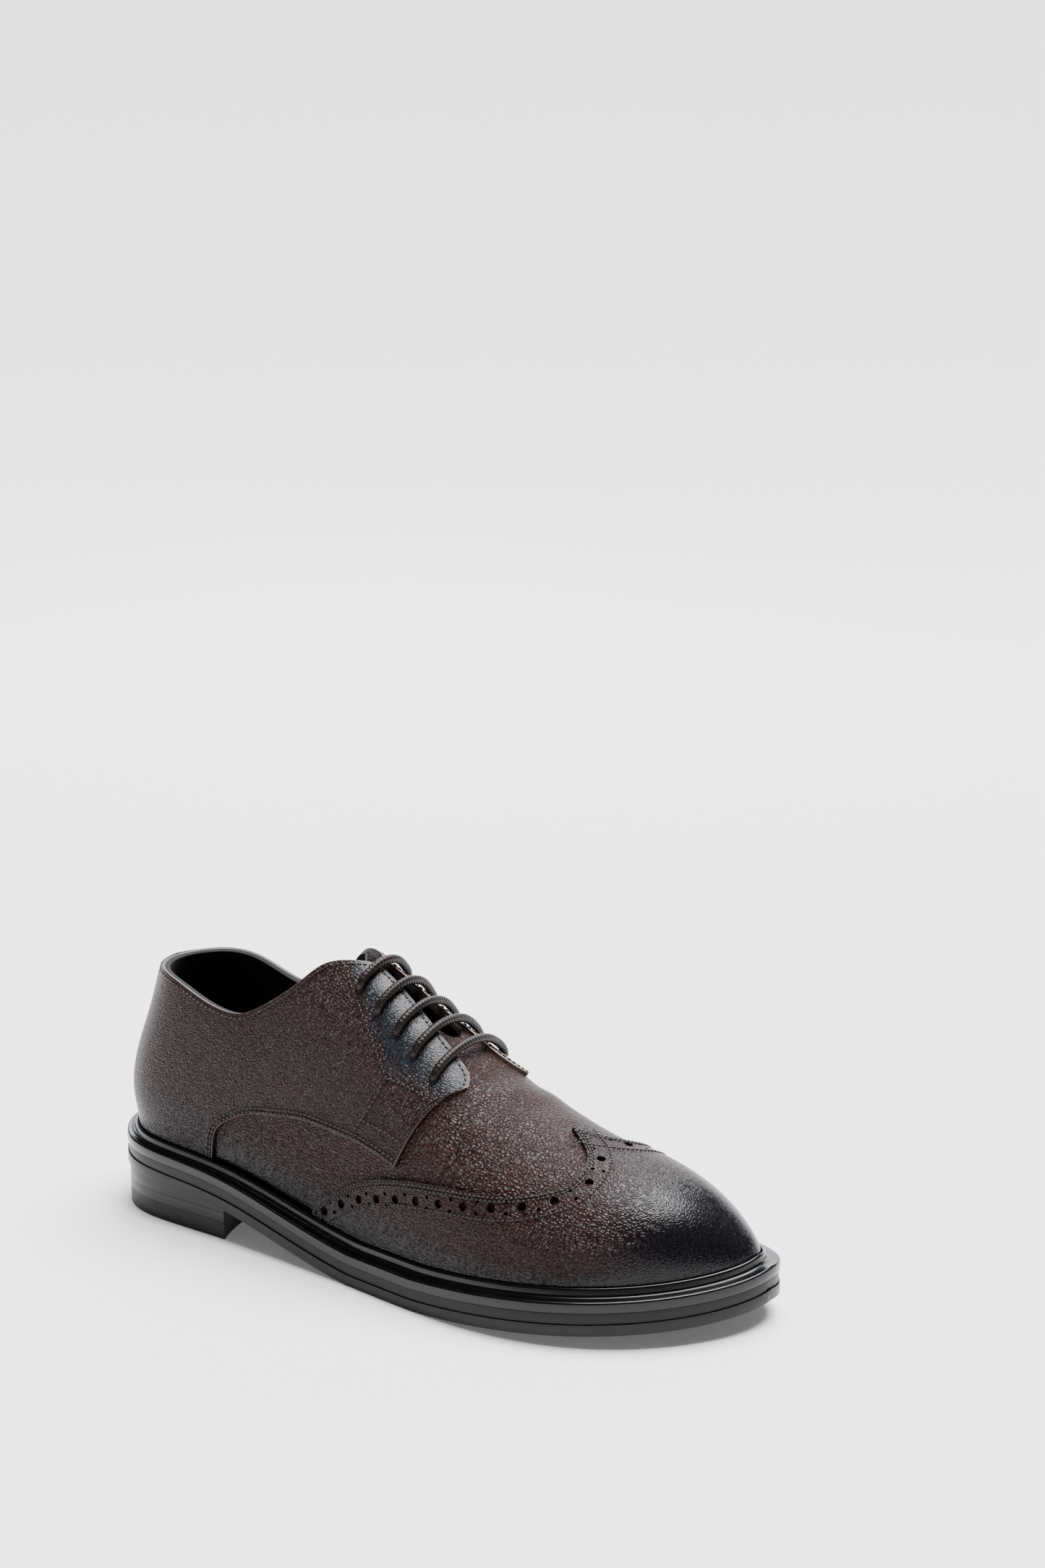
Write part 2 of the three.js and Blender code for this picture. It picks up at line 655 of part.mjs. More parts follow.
eyelets.forEach((eyelet, i) => {
  const clear = panelTop + gap + laceDiameter / 2;
  const reachIn = -wall + laceDiameter / 4;
  const across = (share) => [eyelet.along, eyelet.lateral + (eyelet.medial - eyelet.lateral) * share];
  const points = [
    skinPoint(across(0), reachIn),
    skinPoint(across(0), clear - gap),
    ...laceCourse.map(({ share, rise }) => skinPoint(across(share), clear + laceArch * rise)),
    skinPoint(across(1), clear - gap),
    skinPoint(across(1), reachIn),
  ];
  const path = new THREE.CatmullRomCurve3(points, false, 'centripetal');
  const sweep = { steps: cordSteps, bevelEnabled: false, extrudePath: path };
  const tube = new THREE.ExtrudeGeometry(cordSection, sweep);
  tube.deleteAttribute('normal');
  tube.deleteAttribute('uv');
  const merged = mergeVertices(tube, merge);
  const geometry = closed(Array.from(merged.getAttribute('position').array), Array.from(merged.index.array));
  add(`lace_bar_${i + 1}`, geometry, waxedCord);
});

export default shoe;
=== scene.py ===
# Looks of a brogue shoe for the right foot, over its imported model. Shapes are worked out in
# millimetres and degrees and put into the meshes in metres: +X to the toe, +Z up, -Y the outer side.
import math

import bpy
import numpy as np
from mathutils import Matrix


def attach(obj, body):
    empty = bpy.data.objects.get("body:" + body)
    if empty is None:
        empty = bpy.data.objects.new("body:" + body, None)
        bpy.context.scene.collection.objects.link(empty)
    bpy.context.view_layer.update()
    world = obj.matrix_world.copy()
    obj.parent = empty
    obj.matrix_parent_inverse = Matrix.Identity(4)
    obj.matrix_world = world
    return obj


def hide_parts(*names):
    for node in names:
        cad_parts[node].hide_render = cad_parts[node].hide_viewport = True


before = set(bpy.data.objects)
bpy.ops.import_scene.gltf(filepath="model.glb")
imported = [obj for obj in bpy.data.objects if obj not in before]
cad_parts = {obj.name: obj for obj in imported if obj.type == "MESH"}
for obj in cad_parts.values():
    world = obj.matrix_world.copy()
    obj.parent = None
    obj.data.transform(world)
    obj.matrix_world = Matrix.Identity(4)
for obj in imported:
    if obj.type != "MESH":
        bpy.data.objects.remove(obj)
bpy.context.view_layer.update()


# Camera: a portrait lens a little over a metre away, above the outer side and ahead of the toe.
# The shoe fills the lower half of a tall picture, as on a catalogue page.
camera_turn, camera_height, camera_roll = np.radians([35.11, 12.15, -0.34])
camera_place = np.array([629.0, -825.6, 414.2])
picture_height = 2168
focal_pixels = 3795.5
back = np.array([math.sin(camera_turn) * math.cos(camera_height),
                 -math.cos(camera_turn) * math.cos(camera_height), math.sin(camera_height)])
level = np.array([math.cos(camera_turn), math.sin(camera_turn), 0.0])
upward = np.cross(back, level)
right = level * math.cos(camera_roll) + upward * math.sin(camera_roll)
upward = np.cross(back, right)
camera_data = bpy.data.cameras.new("camera")
camera_data.sensor_width = 36.0
camera_data.lens = focal_pixels / picture_height * camera_data.sensor_width
camera_data.clip_end = 50.0
camera = bpy.data.objects.new("camera", camera_data)
camera.matrix_world = Matrix([
    [right[0], upward[0], back[0], camera_place[0] / 1000],
    [right[1], upward[1], back[1], camera_place[1] / 1000],
    [right[2], upward[2], back[2], camera_place[2] / 1000],
    [0, 0, 0, 1]])
bpy.context.collection.objects.link(camera)
bpy.context.scene.camera = camera


# Studio: a pale backlit sweep under and behind the shoe, which rises in the distance. A wide soft
# light from overhead and a little behind throws the shadow forward, and a panel glints on the toe.
def linear(code):
    """Linear colour of an sRGB hex code: each channel by the sRGB curve."""
    channel = np.array([int(code[i:i + 2], 16) for i in (1, 3, 5)]) / 255
    value = np.where(channel <= 0.04045, channel / 12.92, ((channel + 0.055) / 1.055) ** 2.4)
    return (*value.tolist(), 1.0)


def feed(node, inputs):
    """Fills a node's inputs: a node is linked by its first output in use, a socket by itself, and
    anything else is the input's own value."""
    for key, value in inputs.items():
        if isinstance(value, bpy.types.Node):
            value = next(output for output in value.outputs if output.enabled)
        if isinstance(value, bpy.types.NodeSocket):
            node.id_data.links.new(value, node.inputs[key])
        else:
            node.inputs[key].default_value = value


def add_node(tree, kind, inputs=None, **settings):
    """Adds a shader node of that kind, with its properties set and its inputs filled."""
    made = tree.nodes.new("ShaderNode" + kind)
    for key, value in settings.items():
        setattr(made, key, value)
    feed(made, inputs or {})
    return made


def new_material(name):
    """Empty node material with its output, and its shader linked to it."""
    made = bpy.data.materials.new(name)
    made.use_nodes = True
    tree = made.node_tree
    tree.nodes.clear()
    shader = add_node(tree, "BsdfPrincipled")
    add_node(tree, "OutputMaterial", {"Surface": shader})
    return made, tree, shader


def put_mesh(name, points, faces, materials, face_material=None):
    """Object of that name at the origin, with its mesh in metres."""
    mesh = bpy.data.meshes.new(name)
    mesh.from_pydata((np.asarray(points) / 1000).tolist(), [], faces)
    for material in materials:
        mesh.materials.append(material)
    if face_material is not None:
        mesh.polygons.foreach_set("material_index", np.asarray(face_material, np.int32))
    mesh.shade_smooth()
    made = bpy.data.objects.new(name, mesh)
    bpy.context.collection.objects.link(made)
    return made


# Backlit acrylic: matt and pale, with a faint glow that keeps the ground close to white
sweep_sheet, tree, shader = new_material("backlit_white_acrylic")
feed(shader, {"Base Color": linear("#f6f6f6"), "Roughness": 0.9, "Specular IOR Level": 0.1,
              "Emission Color": linear("#ffffff"), "Emission Strength": 0.12})
# distance behind the shoe and height, along the sweep
sweep_run = np.array([[-3000, 0], [1500, 0], [1800, 50], [2200, 220], [2700, 540], [3300, 980],
                      [5000, 2300]])
sweep_turn = math.radians(35)
sweep_side = np.array([-2600.0, 2600.0])
sweep_x = sweep_run[:, :1] * -math.sin(sweep_turn) + sweep_side * math.cos(sweep_turn)
sweep_y = sweep_run[:, :1] * math.cos(sweep_turn) + sweep_side * math.sin(sweep_turn)
sweep_z = np.repeat(sweep_run[:, 1:], 2, axis=1)
sweep_points = np.stack([sweep_x, sweep_y, sweep_z], -1).reshape(-1, 3)
sweep_faces = [[2 * i, 2 * i + 1, 2 * i + 3, 2 * i + 2] for i in range(len(sweep_run) - 1)]
sweep = put_mesh("paper_sweep", sweep_points, sweep_faces, [sweep_sheet])

world = bpy.data.worlds.new("studio")
world.use_nodes = True
feed(world.node_tree.nodes["Background"], {"Color": linear("#e9ebee"), "Strength": 0.15})
bpy.context.scene.world = world


def unit(vectors):
    """The same vectors at length 1."""
    return vectors / np.linalg.norm(vectors, axis=-1, keepdims=True)


def add_light(kind, name, place, colour, **settings):
    """Light at a place in metres that faces the shoe."""
    data = bpy.data.lights.new(name, kind)
    data.color = linear(colour)[:3]
    for key, value in settings.items():
        setattr(data, key, value)
    lamp = bpy.data.objects.new(name, data)
    away = unit(np.array(place, float))
    side = unit(np.cross([0.0, 1.0, 0.0], away))
    up = np.cross(away, side)
    lamp.matrix_world = Matrix([*zip(side, up, away, place), (0, 0, 0, 1)])
    lamp.visible_camera = False
    bpy.context.collection.objects.link(lamp)


add_light("SUN", "overhead_panel", (0.03, 0.32, 1.0), "#fdfdff", energy=12, angle=math.radians(46))
add_light("AREA", "back_panel", (-0.75, 1.3, 0.85), "#dfe9ff", energy=8, shape="RECTANGLE",
          size=1.2, size_y=0.4)


# The last: not a piece, but the form that the leather is pulled over and that the sole follows. Its
# sections run from the heel's back (along 0) to the toe's tip (along 180), and each is a rounded
# arch from the outer feather line (around 0) over the ridge (90) to the inner one (180).
shoe_length = 302.0
last_width = 88.6
heel_height = 18.5
toe_spring = 9.6
instep_rise = 95.0
collar_height = 69.0
back_lean = 12.4
shelf_at_heel, shelf_at_ball, shelf_at_toe = 6.6, 9.0, 8.6
outsole_thickness, midsole_thickness, welt_thickness = 4.2, 3.9, 4.3
gap = 0.3
sole_edge = outsole_thickness + midsole_thickness + welt_thickness + 2 * gap
# along, half width, centre, heel lift, toe lift, ridge height, ridge offset, fullness of the arch
sections = np.array([
    [0, 0, 0.052, 1, 0, 1.12, 0.052, 2.2],
    [15, 0.181, 0.045, 0.975, 0, 1.125, 0.043, 2.2],
    [30, 0.316, 0.035, 0.93, 0, 1.12, 0.028, 2.2],
    [45, 0.343, 0.018, 0.855, 0, 1.105, 0.01, 2.2],
    [60, 0.334, -0.007, 0.68, 0, 1.085, -0.008, 2.1],
    [75, 0.352, -0.025, 0.31, 0, 1.064, -0.006, 2.1],
    [90, 0.402, -0.03, 0, 0, 0.925, -0.05, 2.25],
    [105, 0.476, -0.02, 0, 0.02, 0.687, -0.006, 2.4],
    [120, 0.5, -0.009, 0, 0.28, 0.493, 0.021, 2.28],
    [135, 0.437, 0.012, 0, 0.5, 0.384, 0.045, 2.3],
    [150, 0.308, 0.061, 0, 0.66, 0.266, 0.073, 2.35],
    [165, 0.155, 0.125, 0, 0.82, 0.11, 0.126, 2.2],
    [180, 0, 0.165, 0, 1, 0, 0.165, 2.1]])
# height and lean of the back, as shares of the collar's
back_profile = np.array([[0, 0], [0.06, -0.01], [0.22, -0.2], [0.46, -0.04], [0.73, 0.51], [1, 1],
                         [1.6, 2.1]])


def spline(xs, ys):
    """Natural cubic line through the points: cubic on each stretch, with slope and bend joined."""
    xs, ys = np.asarray(xs, float), np.asarray(ys, float)
    step = np.diff(xs)
    inner = np.arange(1, len(xs) - 1)
    system, load = np.eye(len(xs)), np.zeros(len(xs))
    system[inner, inner - 1] = step[:-1]
    system[inner, inner] = 2 * (step[:-1] + step[1:])
    system[inner, inner + 1] = step[1:]
    slope = np.diff(ys) / step
    load[inner] = 6 * np.diff(slope)
    bend = np.linalg.solve(system, load)

    def value(x):
        x = np.asarray(x, float)
        i = np.clip(np.searchsorted(xs, x) - 1, 0, len(xs) - 2)
        before, after, h = x - xs[i], xs[i + 1] - x, step[i]
        cubic = (bend[i] * after ** 3 + bend[i + 1] * before ** 3) / (6 * h)
        return (cubic + (ys[i] / h - bend[i] * h / 6) * after
                + (ys[i + 1] / h - bend[i + 1] * h / 6) * before)
    return value


half_width = spline(sections[:, 0], sections[:, 1] * last_width)
mid_line = spline(sections[:, 0], sections[:, 2] * last_width)
tread_line = spline(sections[:, 0], sections[:, 3] * heel_height + sections[:, 4] * toe_spring)
ridge_rise = spline(sections[:, 0], sections[:, 5] * instep_rise)
ridge_line = spline(sections[:, 0], sections[:, 6] * last_width)
fullness = spline(sections[:, 0], sections[:, 7])
lean_at = spline(back_profile[:, 0] * collar_height, back_profile[:, 1] * back_lean)
shelf = spline([0, 60, 90, 140, 180], [shelf_at_heel, (shelf_at_heel + shelf_at_ball) / 2,
                                       shelf_at_ball, shelf_at_ball, shelf_at_toe])
feather_back = -shoe_length / 2 + shelf_at_heel
feather_front = shoe_length / 2 - shelf_at_toe
feather_middle = (feather_back + feather_front) / 2
feather_half = (feather_front - feather_back) / 2


def tread(along):
    """Underside of the outsole over the floor, flat where it rests."""
    return np.maximum(0, tread_line(along))


def feather_x(along):
    """Place along the shoe: the middle less half the feather line times the angle's cosine."""
    return feather_middle - feather_half * np.cos(np.radians(along))


# Soft folds of the vamp where it bends below the lacing, and the dips beside the facings:
# along, around, reach along and around in degrees, turn of the fold in degrees, height in mm
folds = np.array([
    [106.5, 62, 1.6, 16, 14, -0.55],
    [109.5, 60, 1.7, 15, 14, 0.4],
    [106.5, 118, 1.6, 16, -14, -0.5],
    [109.5, 120, 1.7, 15, -14, 0.35],
    [104.2, 88, 2.2, 10, 0, -0.9],
    [108.0, 89, 2.0, 13, 0, 0.7],
    [112.5, 92, 1.8, 14, 4, -0.35],
    [116.0, 52, 1.9, 12, 20, -0.3],
    [84.0, 18, 3.5, 6, 40, -0.35],
    [62.0, 38, 5.0, 10, 10, -0.4],
])


def relief(along, around):
    """Sum of the folds: each a bell across its short way and along its long way."""
    total = np.zeros(np.broadcast(along, around).shape)
    for at_along, at_around, wide, long, turn, height in folds:
        c, s = math.cos(math.radians(turn)), math.sin(math.radians(turn))
        across = ((along - at_along) * c - (around - at_around) * s * 0.4) / wide
        length = ((around - at_around) * c + (along - at_along) * s * 2.5) / long
        total += height * np.exp(-across ** 2 - length ** 2)
    return total


def last_point(along, around):
    """Point of the last: the feather line and an arch by |cos| and |sin| to its fullness."""
    along, around = np.broadcast_arrays(np.asarray(along, float), np.asarray(around, float))
    around = np.where(along < 0, 180 - around, around)
    along = np.abs(along)
    ridge, mid, half, power = ridge_line(along), mid_line(along), half_width(along), fullness(along)
    c, s = np.cos(np.radians(around)), np.sin(np.radians(around))
    reach = np.maximum(0, np.where(around < 90, ridge - mid + half, mid + half - ridge))
    radius = (np.abs(c) ** power + np.abs(s) ** power) ** (-1 / power)
    height = np.maximum(0, ridge_rise(along)) * radius * s
    fade = ((1 + np.cos(np.radians(along))) / 2) ** 2
    return np.stack([feather_x(along) + lean_at(height) * fade, ridge - reach * radius * c,
                     tread(along) + sole_edge + gap + height], -1)


def skin(pairs, out):
    """Point of the last, moved out along its normal by a distance and the folds, over the welt."""
    along, around = pairs[..., 0], pairs[..., 1]
    inner = np.minimum(along, 179.9)
    step = 0.02
    normal = unit(np.cross(last_point(inner + step, around) - last_point(inner - step, around),
                           last_point(inner, around + step) - last_point(inner, around - step)))
    out = out + relief(along, around)
    point = last_point(along, around) + normal * out[..., None]
    foot = tread(np.abs(along)) + sole_edge + gap
    point[..., 2] = np.maximum(point[..., 2], foot)
    tip = np.stack([feather_front + out, np.full_like(out, mid_line(180)), foot], -1)
    return np.where((along >= 180)[..., None], tip, point)


def lengths(line, scale=1.0):
    """Length along the line up to each of its points."""
    return np.concatenate([[0], np.cumsum(np.linalg.norm(np.diff(line, axis=0) * scale, axis=1))])


def between(at, length, line):
    """Places on the line at those lengths, straight between its points."""
    return np.stack([np.interp(at, length, column) for column in line.T], -1)


def run(points, count):
    """Smooth line through the pairs, at even steps: cubic in the length so far, a degree along as
    2.5 mm and one around as 1.25."""
    points = np.asarray(points, float)
    scale = np.array([2.5, 1.25])
    at = lengths(points, scale)
    line = points
    if len(points) > 2:
        dense = np.linspace(0, at[-1], 12 * count + 1)
        line = np.stack([spline(at, column)(dense) for column in points.T], -1)
    length = lengths(line, scale)
    return between(np.linspace(0, length[-1], count + 1), length, line)


def chain(*runs):
    """Runs joined end to end, with the shared points once."""
    return np.concatenate([runs[0]] + [part[1:] for part in runs[1:]])


def inner_side(pairs):
    """The same places on the inner side: around becomes 180 less around."""
    return np.stack([pairs[..., 0], 180 - pairs[..., 1]], -1)


def patch(low, high, rows):
    """Grid of pairs that goes evenly from the low line to the high one."""
    share = np.linspace(0, 1, rows + 1)[:, None, None]
    return low[None] + (high - low)[None] * share


def keep_field(piece, key, values):
    """Keeps a value at each of the piece's points, for its material to read."""
    field = piece.data.attributes.new(key, "FLOAT", "POINT")
    field.data.foreach_set("value", values.astype(np.float32))


def shell(name, patches, outs, materials, parts, place=skin, attributes=None):
    """Closed mesh over patches of pairs: its underside at the first distance and its top at the last,
    with a wall through all of them round the open edges. parts gives the material of top, underside
    and wall. attributes are functions of the pairs, kept at the points."""
    pairs = np.concatenate([grid.reshape(-1, 2) for grid in patches])
    faces, start = [], 0
    for grid in patches:
        rows, columns = grid.shape[:2]
        index = start + np.arange(rows * columns).reshape(rows, columns)
        quads = np.stack([index[:-1, :-1], index[:-1, 1:], index[1:, 1:], index[1:, :-1]], -1)
        quads = quads.reshape(-1, 4)
        corner = pairs[quads]
        area = np.cross(corner[:, 2] - corner[:, 0], corner[:, 3] - corner[:, 1]).sum()
        faces.append(quads if area > 0 else quads[:, ::-1])
        start += rows * columns
    faces = np.concatenate(faces)
    top = place(pairs, outs[-1])
    first, weld = np.unique(np.round(top, 3), axis=0, return_index=True, return_inverse=True)[1:]
    pairs, faces = pairs[first], weld.reshape(-1)[faces]
    following = np.roll(faces, -1, axis=1)
    twins = (faces == following).sum(axis=1)
    whole = faces[twins == 0]
    folded, at = faces[twins == 1], np.argmax((faces == following)[twins == 1], axis=1)
    keep = (at[:, None] + np.array([1, 2, 3])) % 4
    corners = np.take_along_axis(folded, keep, axis=1)
    edges = np.concatenate([np.stack([f, np.roll(f, -1, axis=1)], -1).reshape(-1, 2)
                            for f in (whole, corners)])
    count = len(pairs)
    code, mirror = edges[:, 0] * count + edges[:, 1], edges[:, 1] * count + edges[:, 0]
    rim = edges[~np.isin(code, mirror)]
    levels = [place(pairs, out) for out in outs]
    last = (len(outs) - 1) * count
    walls = np.concatenate([np.concatenate([rim, rim[:, ::-1] + count], 1) + k * count
                            for k in range(len(outs) - 1)])
    points = np.concatenate(levels)
    all_faces = [whole + last, corners + last, whole[:, ::-1], corners[:, ::-1], walls]
    flat = np.concatenate([np.concatenate([f[:, :3], f[:, [0, 2, 3]]]) if f.shape[1] == 4 else f
                           for f in all_faces])
    tetra = np.einsum("ij,ij->i", points[flat[:, 0]], np.cross(points[flat[:, 1]], points[flat[:, 2]]))
    if tetra.sum() < 0:
        all_faces = [f[:, ::-1] for f in all_faces]
    which = np.repeat([parts[0], parts[0], parts[1], parts[1], parts[2]], [len(f) for f in all_faces])
    made = put_mesh(name, points, [row for f in all_faces for row in f.tolist()], materials, which)
    for key, rule in (attributes or {}).items():
        keep_field(made, key, np.tile(rule(pairs), len(outs)))
    return made


def round_edges(piece, width, cutter=None, look=-1):
    """Rounds the piece's sharp edges, in the material of that slot if one is given, cuts its holes,
    and keeps the result as its mesh."""
    if width:
        bevel = piece.modifiers.new("round", "BEVEL")
        bevel.width = width / 1000
        bevel.material = look
        bevel.segments = 3
        bevel.limit_method = "ANGLE"
        bevel.angle_limit = math.radians(50)
    if cutter is not None:
        cut = piece.modifiers.new("cut", "BOOLEAN")
        cut.operation = "DIFFERENCE"
        cut.solver = "EXACT"
        cut.object = cutter
    done = bpy.data.meshes.new_from_object(piece.evaluated_get(bpy.context.evaluated_depsgraph_get()))
    piece.modifiers.clear()
    piece.data = done
    done.set_sharp_from_angle(angle=math.radians(60))
    return piece


def seat(piece, slot, *nodes):
    """Rides the piece on the one body, in place of those solids. The slot is not used."""
    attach(piece, "root")
    if nodes:
        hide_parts(*nodes)


# Outsole and midsole: two layers of sole leather, cut to one outline and sewn to the welt. Their
# edges are trimmed, inked black and burnished, and the midsole's stands back a hair.
def edge_point(along, side, out):
    """Feather line moved out by a distance, square to it in the plane of the sole."""
    def side_line(at):
        return mid_line(at) + side * half_width(at)

    step = 0.02
    a = np.clip(along, 0.1, 180 - 0.1)
    run_x = feather_x(a + step) - feather_x(a - step)
    run_y = side_line(a + step) - side_line(a - step)
    size = np.hypot(run_x, run_y)
    end = (along <= 0) | (along >= 180)
    out_x = np.where(end, -np.cos(np.radians(along)), -side * run_y / size)
    out_y = np.where(end, 0, side * run_x / size)
    return feather_x(along) + out_x * out, side_line(along) + out_y * out


def plate_place(levels):
    """Place rule of a flat plate: its level picks a reach past the feather line, as a share of the
    shelf and a distance, and a height. The pair is the angle along and the place across."""
    def place(pairs, level):
        share, out, height = levels[level]
        along, across = pairs[:, 0], pairs[:, 1]
        reach = share * shelf(along) + (out(along) if callable(out) else out)
        outer, inner = edge_point(along, -1, reach), edge_point(along, 1, reach)
        x, y = [a + (b - a) * (across + 1) / 2 for a, b in zip(outer, inner)]
        return np.stack([x, y, height(along) if callable(height) else np.full_like(x, height)], -1)
    return place


def over_tread(height):
    """Height rule that follows the underside of the outsole."""
    return lambda along: tread(along) + height


def plate_grid(end, columns, rows):
    """Pairs over a plate from the heel's back to its front line, closer together at both tips."""
    across = np.linspace(-1, 1, rows + 1)[:, None]
    share = np.linspace(0, 1, columns + 1)[None]
    along = end(across) * share
    return np.stack([along, np.broadcast_to(across, along.shape)], -1)


def spread(tree, noise, low, high):
    """Stretches a noise's usual range, 0.3 to 0.7, over the one from low to high."""
    return add_node(tree, "MapRange", {"Value": noise, "From Min": 0.3, "From Max": 0.7,
                                       "To Min": low, "To Max": high})


def edge_leather(name, colour, roughness, coat, streak):
    """Inked and burnished edge of sole leather: near black, waxed, with faint streaks along it."""
    made, tree, shader = new_material(name)
    place = add_node(tree, "TexCoord").outputs["Object"]
    stretch = add_node(tree, "Mapping", {"Vector": place, "Scale": (60, 60, 900)})
    layers = add_node(tree, "TexNoise", {"Vector": stretch, "Scale": 1.0,
                                         "Detail": 4.0, "Roughness": 0.6})
    tone = spread(tree, layers, 1 - streak, 1 + streak)
    tinted = add_node(tree, "VectorMath", {0: linear(colour)[:3], "Scale": tone}, operation="SCALE")
    bump = add_node(tree, "Bump", {"Height": layers, "Strength": 0.25, "Distance": 0.0001})
    feed(shader, {"Base Color": tinted, "Normal": bump,
                  "Roughness": spread(tree, layers, roughness - 0.05, roughness + 0.06),
                  "Coat Weight": coat, "Coat Roughness": 0.12, "Specular IOR Level": 0.2})
    return made


whole_length = [plate_grid(lambda across: np.full_like(across, 180.0), 360, 10)]
outsole_ink = edge_leather("inked_sole_leather_edge", "#0c0c0d", 0.36, 0.06, 0.12)
outsole = shell("outsole_leather", whole_length, [0, 1], [outsole_ink], (0, 0, 0), plate_place([
    (1, 0, over_tread(0)), (1, 0, over_tread(outsole_thickness + 0.1))]))
round_edges(outsole, 0.5)
seat(outsole, "outsole", "outsole")

midsole_foot = outsole_thickness + gap
midsole_ink = edge_leather("inked_midsole_edge", "#070708", 0.42, 0.04, 0.1)
midsole = shell("midsole_leather", whole_length, [0, 1], [midsole_ink], (0, 0, 0), plate_place([
    (1, -0.5, over_tread(midsole_foot - 0.15)),
    (1, -0.5, over_tread(midsole_foot + midsole_thickness + 0.1))]))
round_edges(midsole, 0.4)
seat(midsole, "midsole", "midsole")


# Stacked heel: two leather lifts and a rubber top piece, nailed and glued under the outsole, with a
# breast that curves in. The lifts are inked grey-black, and their joints show as faint lines. The
# rubber is duller than the inked leather.
heel_length = 77.0
heel_inset = 0.8
breast_dip = 4.5
top_piece_thickness, lift_thickness = 6.8, 4.2
heel_front = math.degrees(math.acos((feather_middle + shoe_length / 2 - heel_length) / feather_half))
heel_grid = [plate_grid(lambda across: heel_front - breast_dip * (1 - across ** 2), 150, 24)]
lift_ink = edge_leather("burnished_stacked_leather", "#141415", 0.36, 0.08, 0.16)
rubber = edge_leather("moulded_black_rubber", "#101011", 0.45, 0.0, 0.05)
first_lift = top_piece_thickness + gap
second_lift = first_lift + lift_thickness
for node_name, low, high, look, slot in (
        ("heel_top_piece", 0, top_piece_thickness + 0.2, rubber, "heel_top_piece"),
        ("heel_lift_lower", first_lift, first_lift + lift_thickness - 0.1, lift_ink, "heel_lift"),
        ("heel_lift_upper", second_lift, over_tread(-0.05), lift_ink, "heel_lift")):
    slab = shell(node_name + "_stack", heel_grid, [0, 1], [look], (0, 0, 0),
                 plate_place([(1, -heel_inset, low), (1, -heel_inset, high)]))
    round_edges(slab, 0.15)
    seat(slab, slot, node_name)


# Storm welt: a strip of black waxed leather sewn round the last. Its flat shelf is polished, its rib
# stands up against the upper, and thin lit lines run along the rib's top and the shelf's edge.
rib_height, rib_thickness = 3.3, 1.3
wall, panel_leather, panel_gap = 1.8, 1.1, 0.6
panel_top = panel_gap + panel_leather
welt_reach = 4.0
welt_foot = outsole_thickness + midsole_thickness + 2 * gap
welt_ink = edge_leather("polished_welt_leather", "#060607", 0.24, 0.2, 0.06)
rib_in = panel_top + 0.15
rib_out, rib_top = rib_in + rib_thickness, sole_edge + rib_height
# share of the shelf, distance, height, round the strip's section
welt_profile = np.array([
    [1, -0.5, welt_foot - 0.15], [1, -0.12, welt_foot + 0.1], [1, 0, welt_foot + 0.5],
    [1, 0.05, welt_foot + 2.1], [1, 0, sole_edge - 0.8], [1, -0.15, sole_edge - 0.3],
    [1, -0.55, sole_edge], [1, -1.0, sole_edge - 0.05], [0.8, 0, sole_edge - 0.25],
    [0.62, 0, sole_edge - 0.3], [0, rib_out + 1.0, sole_edge - 0.25],
    [0, rib_out + 0.45, sole_edge + 0.1], [0, rib_out + 0.2, sole_edge + 0.8],
    [0, rib_out + 0.1, rib_top - 0.9], [0, rib_out - 0.15, rib_top - 0.3],
    [0, rib_in + rib_thickness / 2, rib_top], [0, rib_in + 0.25, rib_top - 0.15],
    [0, rib_in, rib_top - 0.6], [0, rib_in, sole_edge + 0.05],
    [0, -welt_reach, sole_edge], [0, -welt_reach, welt_foot]])
welt_columns = 720
turn = np.linspace(0, 360, welt_columns, endpoint=False)[:, None]
welt_along = np.where(turn <= 180, turn, 360 - turn)
welt_side = np.where(turn <= 180, -1.0, 1.0)
reach = welt_profile[None, :, 0] * shelf(welt_along) + welt_profile[None, :, 1]
welt_x, welt_y = edge_point(np.broadcast_to(welt_along, reach.shape), welt_side, reach)
welt_points = np.stack([welt_x, welt_y, tread(welt_along) + welt_profile[None, :, 2]], -1)
size = len(welt_profile)
index = np.arange(welt_columns * size).reshape(welt_columns, size)
around_next, along_next = np.roll(index, -1, axis=1), np.roll(index, -1, axis=0)
both_next = np.roll(along_next, -1, axis=1)
welt_faces = np.stack([index, along_next, both_next, around_next], -1).reshape(-1, 4)
welt = put_mesh("storm_welt", welt_points.reshape(-1, 3), welt_faces.tolist(), [welt_ink])
welt.data.set_sharp_from_angle(angle=math.radians(60))
seat(welt, "welt", "welt")


# Upper: the vamp and quarters' wall, one piece of pebbled calf with its lining, lasted over the form.
# The grain is bold on the vamp, and the leather is darkened towards the welt as painted shade.

# along, share of the collar's height, share of the ridge's
topline = np.array([[0, 1, 0], [15, 1.01, 0], [30, 1.015, 0], [38, 0.993, 0], [45, 0.957, 0],
                    [52, 0.933, 0], [57, 0.954, 0], [62, 0.7, 0.24], [67.5, 0.35, 0.592],
                    [71.5, 0.08, 0.878], [75.3, 0, 0.975]])
lateral_facing = [[77.5, 81.4], [79.3, 85.5], [81, 87.4], [86.5, 88], [90.5, 86.2], [95, 82.1],
                  [99.7, 78.1], [102.1, 74.7], [103.3, 69]]
medial_facing = [[77.3, 99.5], [79, 97.6], [80.8, 99], [83.5, 103], [87, 106], [91, 108], [95.3, 108.5],
                 [98.8, 107], [101.2, 107.5], [103.4, 110.5], [104.8, 116]]
lateral_slot = [[81, 87.4], [86.5, 88], [90.5, 86.2], [93.6, 86.4], [95.6, 90], [96.3, 96.5]]
medial_slot = [[80.8, 99], [83.5, 103], [87, 106], [91, 107], [94.5, 104], [96.3, 96.5]]
